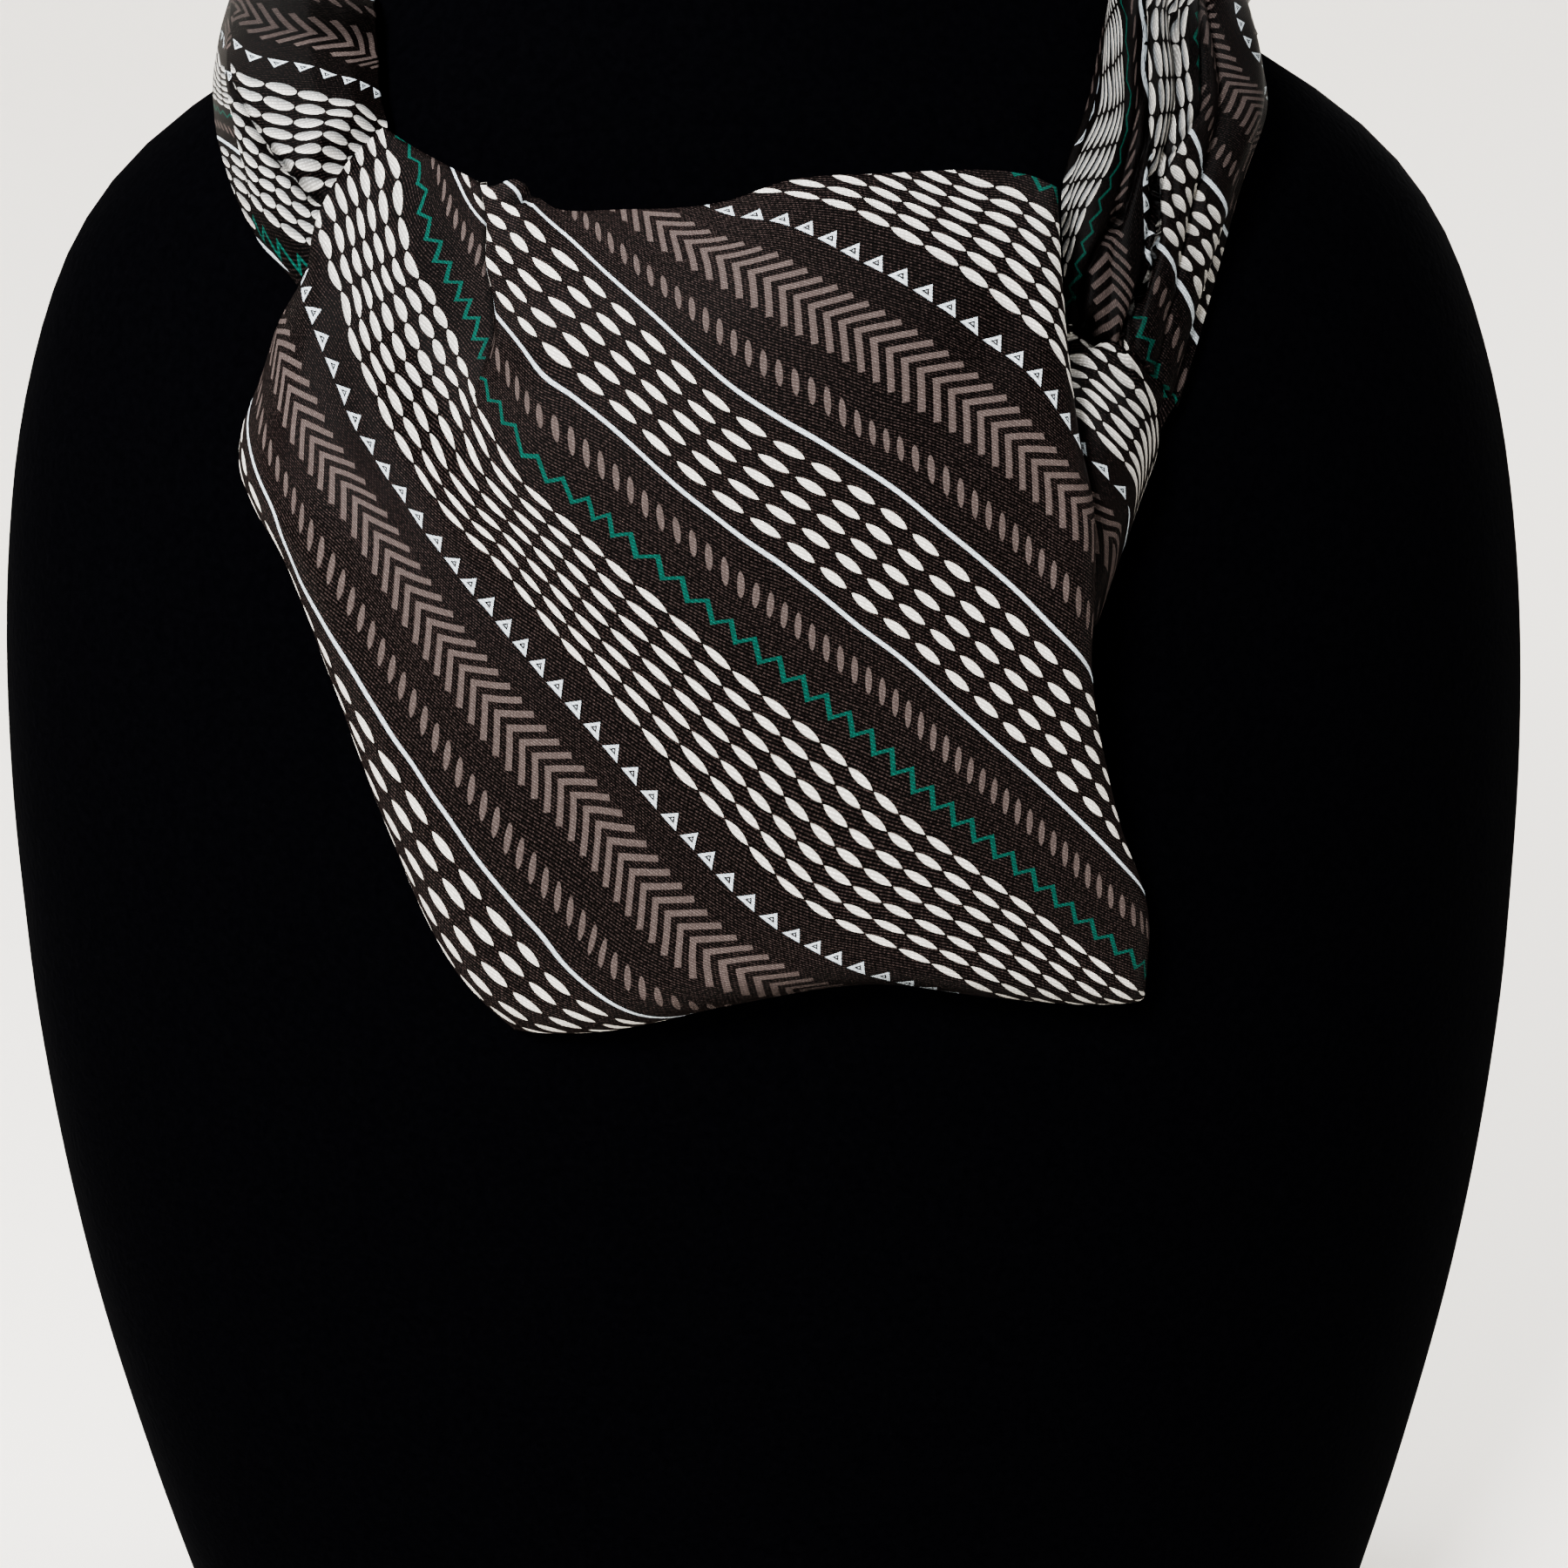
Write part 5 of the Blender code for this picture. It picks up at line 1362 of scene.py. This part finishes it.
def makePrintGroup():
    layout, tree = printLayout, bpy.data.node_groups.new("stripePrint", "ShaderNodeTree")
    outputs = ("White", "Grey", "Pale", "Teal", "Twill", "RibShade")
    for way, names in (("INPUT", ("Along", "Across", "Fullness")), ("OUTPUT", outputs)):
        for name in names:
            tree.interface.new_socket(name=name, in_out=way, socket_type="NodeSocketFloat")
    given = tree.nodes.new("NodeGroupInput")
    out = tree.nodes.new("NodeGroupOutput")
    sums = nodeMaths(tree)
    u, across, full = [given.outputs[name] for name in ("Along", "Across", "Fullness")]
    v = sums.do("WRAP", across, layout["repeat"], 0.0)

    def ovalRows(rows):
        local = sums.less(v, rows["start"])
        row = sums.do("ROUND", sums.over(local, rows["pitch"]))
        row = sums.least(sums.most(row, 0.0), rows["count"] - 1)
        aside = sums.less(local, sums.times(row, rows["pitch"]))
        along = sums.around(sums.less(u, sums.times(row, rows["shift"])), rows["period"])
        inside = sums.lens(along, aside, rows, full)
        # painted shade across the row, dark on one side
        ribShade = sums.line(aside, layout["ribShadeSlope"] / rows["pitch"], 0.5, clamp=True)
        return inside, sums.times(inside, ribShade)

    dense, denseRibShade = ovalRows(layout["dense"])
    sparse, sparseRibShade = ovalRows(layout["sparse"])
    white = sums.most(dense, sparse)
    ribShade = sums.power(sums.most(denseRibShade, sparseRibShade), layout["ribShadePower"])
    ribShade = sums.less(1.0, sums.times(full, sums.less(1.0, ribShade)))

    slanted, half = [], math.sqrt(0.5)
    ovals = layout["greyOvals"]
    for place in ovals["places"]:
        aside = sums.less(v, place)
        near = sums.around(sums.add(u, aside), ovals["period"])
        along = sums.times(sums.less(near, sums.times(aside, 2.0)), half)
        slanted.append(sums.lens(along, sums.times(near, half), ovals, 0.0))
    chevrons = layout["chevrons"]
    aside = sums.size(sums.less(v, chevrons["place"]))
    near = sums.around(sums.less(u, sums.times(aside, chevrons["slope"])), chevrons["period"])
    arm = sums.inside(sums.less(sums.size(near), chevrons["width"] * chevrons["period"] / 2))
    reach = sums.inside(sums.less(sums.add(aside, sums.times(near, 0.5)), chevrons["reach"]))
    grey = sums.most(sums.most(*slanted), sums.times(arm, reach))

    thin = layout["lines"]
    half = sums.line(full, thin["width"] / 2, thin["width"] / 2)
    lines = [sums.inside(sums.less(sums.size(sums.less(v, place)), half)) for place in thin["places"]]
    corner = layout["triangles"]
    aside = sums.around(sums.less(v, corner["place"]), layout["repeat"])
    near = sums.size(sums.around(u, corner["period"]))

    def triangle(scale):
        height, base = corner["height"] * scale, corner["base"] * scale
        low = sums.less(-height * corner["below"], aside)
        slant = sums.less(aside, height * (1 - corner["below"]))
        return sums.inside(sums.most(low, sums.add(sums.times(near, 2 * height / base), slant)))

    ring = sums.less(triangle(1.0), triangle(corner["hole"]))
    ring = sums.most(ring, triangle(corner["hole"] * corner["dot"]))
    pale = sums.most(sums.most(*lines), ring)

    zigzag = layout["zigzag"]
    turn = sums.over(sums.do("WRAP", u, zigzag["period"], 0.0), zigzag["period"])
    wave = sums.least(sums.over(turn, zigzag["rise"]),
                      sums.over(sums.less(1.0, turn), 1 - zigzag["rise"]))
    middle = sums.line(wave, 2 * zigzag["height"], zigzag["place"] - zigzag["height"])
    teal = sums.inside(sums.less(sums.size(sums.less(v, middle)), zigzag["width"] / 2))

    turn = math.radians(twill["turn"])
    slant = sums.add(sums.times(u, math.sin(turn)), sums.times(across, math.cos(turn)))
    wave = sums.do("SINE", sums.times(slant, 2 * math.pi / twill["pitch"]))
    thread = sums.power(sums.line(wave, 0.5, 0.5), twill["fineness"])
    run = sums.less(sums.times(u, math.cos(turn)), sums.times(across, math.sin(turn)))
    run = sums.add(run, sums.times(slant, 0.5))
    stitch = sums.do("SINE", sums.times(run, 2 * math.pi / twill["stitch"]))
    thread = sums.times(thread, sums.line(stitch, twill["dots"] / 2, 1 - twill["dots"] / 2))
    place = tree.nodes.new("ShaderNodeCombineXYZ")
    tree.links.new(u, place.inputs["X"])
    tree.links.new(across, place.inputs["Y"])
    slub = tree.nodes.new("ShaderNodeTexNoise")
    slub.inputs["Scale"].default_value = twill["slubs"]
    slub.inputs["Detail"].default_value = 1.0
    tree.links.new(place.outputs[0], slub.inputs["Vector"])
    uneven = sums.line(slub.outputs["Fac"], 5.0, -2.0, clamp=True)
    uneven = sums.line(uneven, twill["uneven"], 1 - twill["uneven"] / 2)
    thread = sums.times(thread, uneven)
    for name, value in zip(outputs, (white, grey, pale, teal, thread, ribShade)):
        tree.links.new(value, out.inputs[name])
    return tree


def newMaterial(name):
    material = bpy.data.materials.new(name)
    material.use_nodes = True
    return material, material.node_tree, material.node_tree.nodes["Principled BSDF"]


def addRelief(tree, shader, height, strength, distance):
    relief = tree.nodes.new("ShaderNodeBump")
    relief.inputs["Strength"].default_value = strength
    relief.inputs["Distance"].default_value = distance
    tree.links.new(height, relief.inputs["Height"])
    tree.links.new(relief.outputs["Normal"], shader.inputs["Normal"])


def attributeOf(tree, name):
    node = tree.nodes.new("ShaderNodeAttribute")
    node.attribute_name = name
    return node.outputs["Fac"]


def mixColour(tree, share, first, second):
    node = tree.nodes.new("ShaderNodeMix")
    node.data_type = "RGBA"
    tree.links.new(share, node.inputs["Factor"])
    for socket, value in ((node.inputs["A"], first), (node.inputs["B"], second)):
        if isinstance(value, tuple):
            socket.default_value = (*value, 1)
        else:
            tree.links.new(value, socket)
    return node.outputs["Result"]


def makeTwill():
    material, tree, shader = newMaterial("printed_twill_cloth")
    sums, colours = nodeMaths(tree), twill["colours"]
    place = tree.nodes.new("ShaderNodeUVMap")
    place.uv_map = "print"
    split = tree.nodes.new("ShaderNodeSeparateXYZ")
    tree.links.new(place.outputs["UV"], split.inputs[0])
    pattern = tree.nodes.new("ShaderNodeGroup")
    pattern.node_tree = makePrintGroup()
    fullness, paintedShade = attributeOf(tree, "fullness"), attributeOf(tree, "paintedShade")
    for name, value in (("Along", split.outputs["X"]), ("Across", split.outputs["Y"]),
                        ("Fullness", fullness)):
        tree.links.new(value, pattern.inputs[name])
    threads = pattern.outputs["Twill"]
    # Painted shade: the ground threads darken where the cloth is full.
    ground = sums.times(threads, sums.line(fullness, -twill["fullGroundShade"], 1.0))
    colour = mixColour(tree, ground, colours["ground"], colours["groundThread"])
    # Painted shade: full cloth darkens one side of each oval row.
    white = mixColour(tree, pattern.outputs["RibShade"], colours["ribShadeSide"], colours["white"])
    for mask, paint in (("Grey", colours["grey"]), ("Teal", colours["teal"]),
                        ("Pale", colours["pale"]), ("White", white)):
        colour = mixColour(tree, pattern.outputs[mask], colour, paint)
    shade = sums.line(threads, twill["shade"], 1 - twill["shade"])
    # Painted shade from the fullness and sunk attributes darkens the whole colour.
    for source, share in ((fullness, twill["gatheredShade"]), (paintedShade, twill["paintedShadeStrength"])):
        shade = sums.times(shade, sums.line(source, -share, 1.0))
    shaded = tree.nodes.new("ShaderNodeVectorMath")
    shaded.operation = "SCALE"
    tree.links.new(colour, shaded.inputs[0])
    tree.links.new(shade, shaded.inputs["Scale"])
    tree.links.new(shaded.outputs[0], shader.inputs["Base Color"])
    addRelief(tree, shader, threads, *twill["relief"])
    tree.links.new(sums.line(threads, *twill["rough"]), shader.inputs["Roughness"])
    shader.inputs["Specular IOR Level"].default_value = twill["gloss"]
    return material


velvet = {
    "napScale": 900,
    "lintScale": 55,
    "lintShare": 0.07,
    "lintSize": 0.018,
    "dark": (0.0001, 0.0001, 0.0002),
    "light": (0.0005, 0.0005, 0.0007),
    "lint": (0.06, 0.06, 0.07),
    "relief": (0.4, 0.0004),
    "rough": (0.1, 0.88),
    "sheen": 0.003,
    "sheenRoughness": 0.35,
}


def makeVelvet():
    material, tree, shader = newMaterial("black_velvet_pile")
    sums = nodeMaths(tree)
    place = tree.nodes.new("ShaderNodeTexCoord").outputs["Object"]
    nap = tree.nodes.new("ShaderNodeTexNoise")
    nap.inputs["Scale"].default_value = velvet["napScale"]
    nap.inputs["Detail"].default_value = 3
    tree.links.new(place, nap.inputs["Vector"])
    lint = tree.nodes.new("ShaderNodeTexVoronoi")
    lint.inputs["Scale"].default_value = velvet["lintScale"]
    tree.links.new(place, lint.inputs["Vector"])
    rare = tree.nodes.new("ShaderNodeTexWhiteNoise")
    tree.links.new(lint.outputs["Position"], rare.inputs["Vector"])
    chosen = sums.do("GREATER_THAN", rare.outputs["Value"], 1 - velvet["lintShare"])
    speck = sums.times(sums.do("LESS_THAN", lint.outputs["Distance"], velvet["lintSize"]), chosen)
    pile = mixColour(tree, nap.outputs["Fac"], velvet["dark"], velvet["light"])
    tree.links.new(mixColour(tree, speck, pile, velvet["lint"]), shader.inputs["Base Color"])
    addRelief(tree, shader, nap.outputs["Fac"], *velvet["relief"])
    tree.links.new(sums.line(nap.outputs["Fac"], *velvet["rough"]), shader.inputs["Roughness"])
    shader.inputs["Specular IOR Level"].default_value = 0.0
    shader.inputs["Sheen Weight"].default_value = velvet["sheen"]
    shader.inputs["Sheen Roughness"].default_value = velvet["sheenRoughness"]
    return material


studio = {
    "wallBehind": 1.6,
    "width": 8.0,
    "reach": 4.0,
    "height": 3.0,
    "bend": 0.35,
    "colour": (0.90, 0.86, 0.79),
    "world": (1.0, 0.98, 0.95, 0.4),
}
lights = {
    "columns": ("name", "place", "aim", "size", "power"),
    "rows": [
        ("front", (-0.24, -0.50, 0.56), (-0.01, -0.06, 0.205), 0.16, 20.0),
        ("overhead", (-0.1, -0.35, 1.3), (0.0, 0.0, 0.22), 0.6, 6.0),
        ("leftSoft", (-1.1, -0.9, 0.55), (0.0, 0.0, 0.22), 0.6, 5.0),
        ("wallLeft", (-1.6, 0.4, 2.2), (-0.6, 1.6, 0.3), 0.8, 110.0),
        ("wallRight", (1.6, 0.4, 2.2), (0.6, 1.6, 0.3), 0.8, 110.0),
    ],
}


def makeStudio():
    bpy.ops.mesh.primitive_plane_add(size=1)
    floor = bpy.context.object
    floor.name = "floor_and_wall"
    for vertex in floor.data.vertices:
        vertex.co.x *= studio["width"]
        vertex.co.y = -studio["reach"] if vertex.co.y < 0 else studio["wallBehind"]

    def pickBackEdge():
        bpy.ops.object.mode_set(mode="EDIT")
        bpy.ops.mesh.select_mode(type="EDGE")
        bpy.ops.mesh.select_all(action="DESELECT")
        bpy.ops.object.mode_set(mode="OBJECT")
        for edge in floor.data.edges:
            ends = [floor.data.vertices[i].co for i in edge.vertices]
            edge.select = all(end.y > 0 and end.z < 1e-4 for end in ends)
        bpy.ops.object.mode_set(mode="EDIT")

    pickBackEdge()
    bpy.ops.mesh.extrude_region_move(TRANSFORM_OT_translate={"value": (0, 0, studio["height"])})
    pickBackEdge()
    bpy.ops.mesh.bevel(offset=studio["bend"], segments=24, affect="EDGES")
    bpy.ops.object.mode_set(mode="OBJECT")
    bpy.ops.object.shade_smooth()
    material, _, shader = newMaterial("pale_backdrop")
    shader.inputs["Base Color"].default_value = (*studio["colour"], 1)
    shader.inputs["Roughness"].default_value = 0.9
    floor.data.materials.append(material)
    world = bpy.data.worlds.new("studio")
    bpy.context.scene.world = world
    world.use_nodes = True
    background = world.node_tree.nodes["Background"]
    background.inputs["Color"].default_value = (*studio["world"][:3], 1)
    background.inputs["Strength"].default_value = studio["world"][3]
    for name, place, aim, size, power in lights["rows"]:
        data = bpy.data.lights.new(name, "AREA")
        data.size, data.energy = size, power
        lamp = bpy.data.objects.new(name, data)
        lamp.location = place
        lamp.visible_camera = False
        lamp.rotation_euler = (Vector(aim) - Vector(place)).to_track_quat("-Z", "Y").to_euler()
        bpy.context.scene.collection.objects.link(lamp)


makeCamera()
makeStudio()
print("studio made")
velvetPile, printedTwill = makeVelvet(), makeTwill()
makeBust().data.materials.append(velvetPile)
print("bust made")
makeBlade()
makePuff(makeBands())
makeTail()
for piece in bpy.data.objects:
    if piece.name.startswith("cravat_"):
        piece.data.materials.append(printedTwill)
print("cravat made")
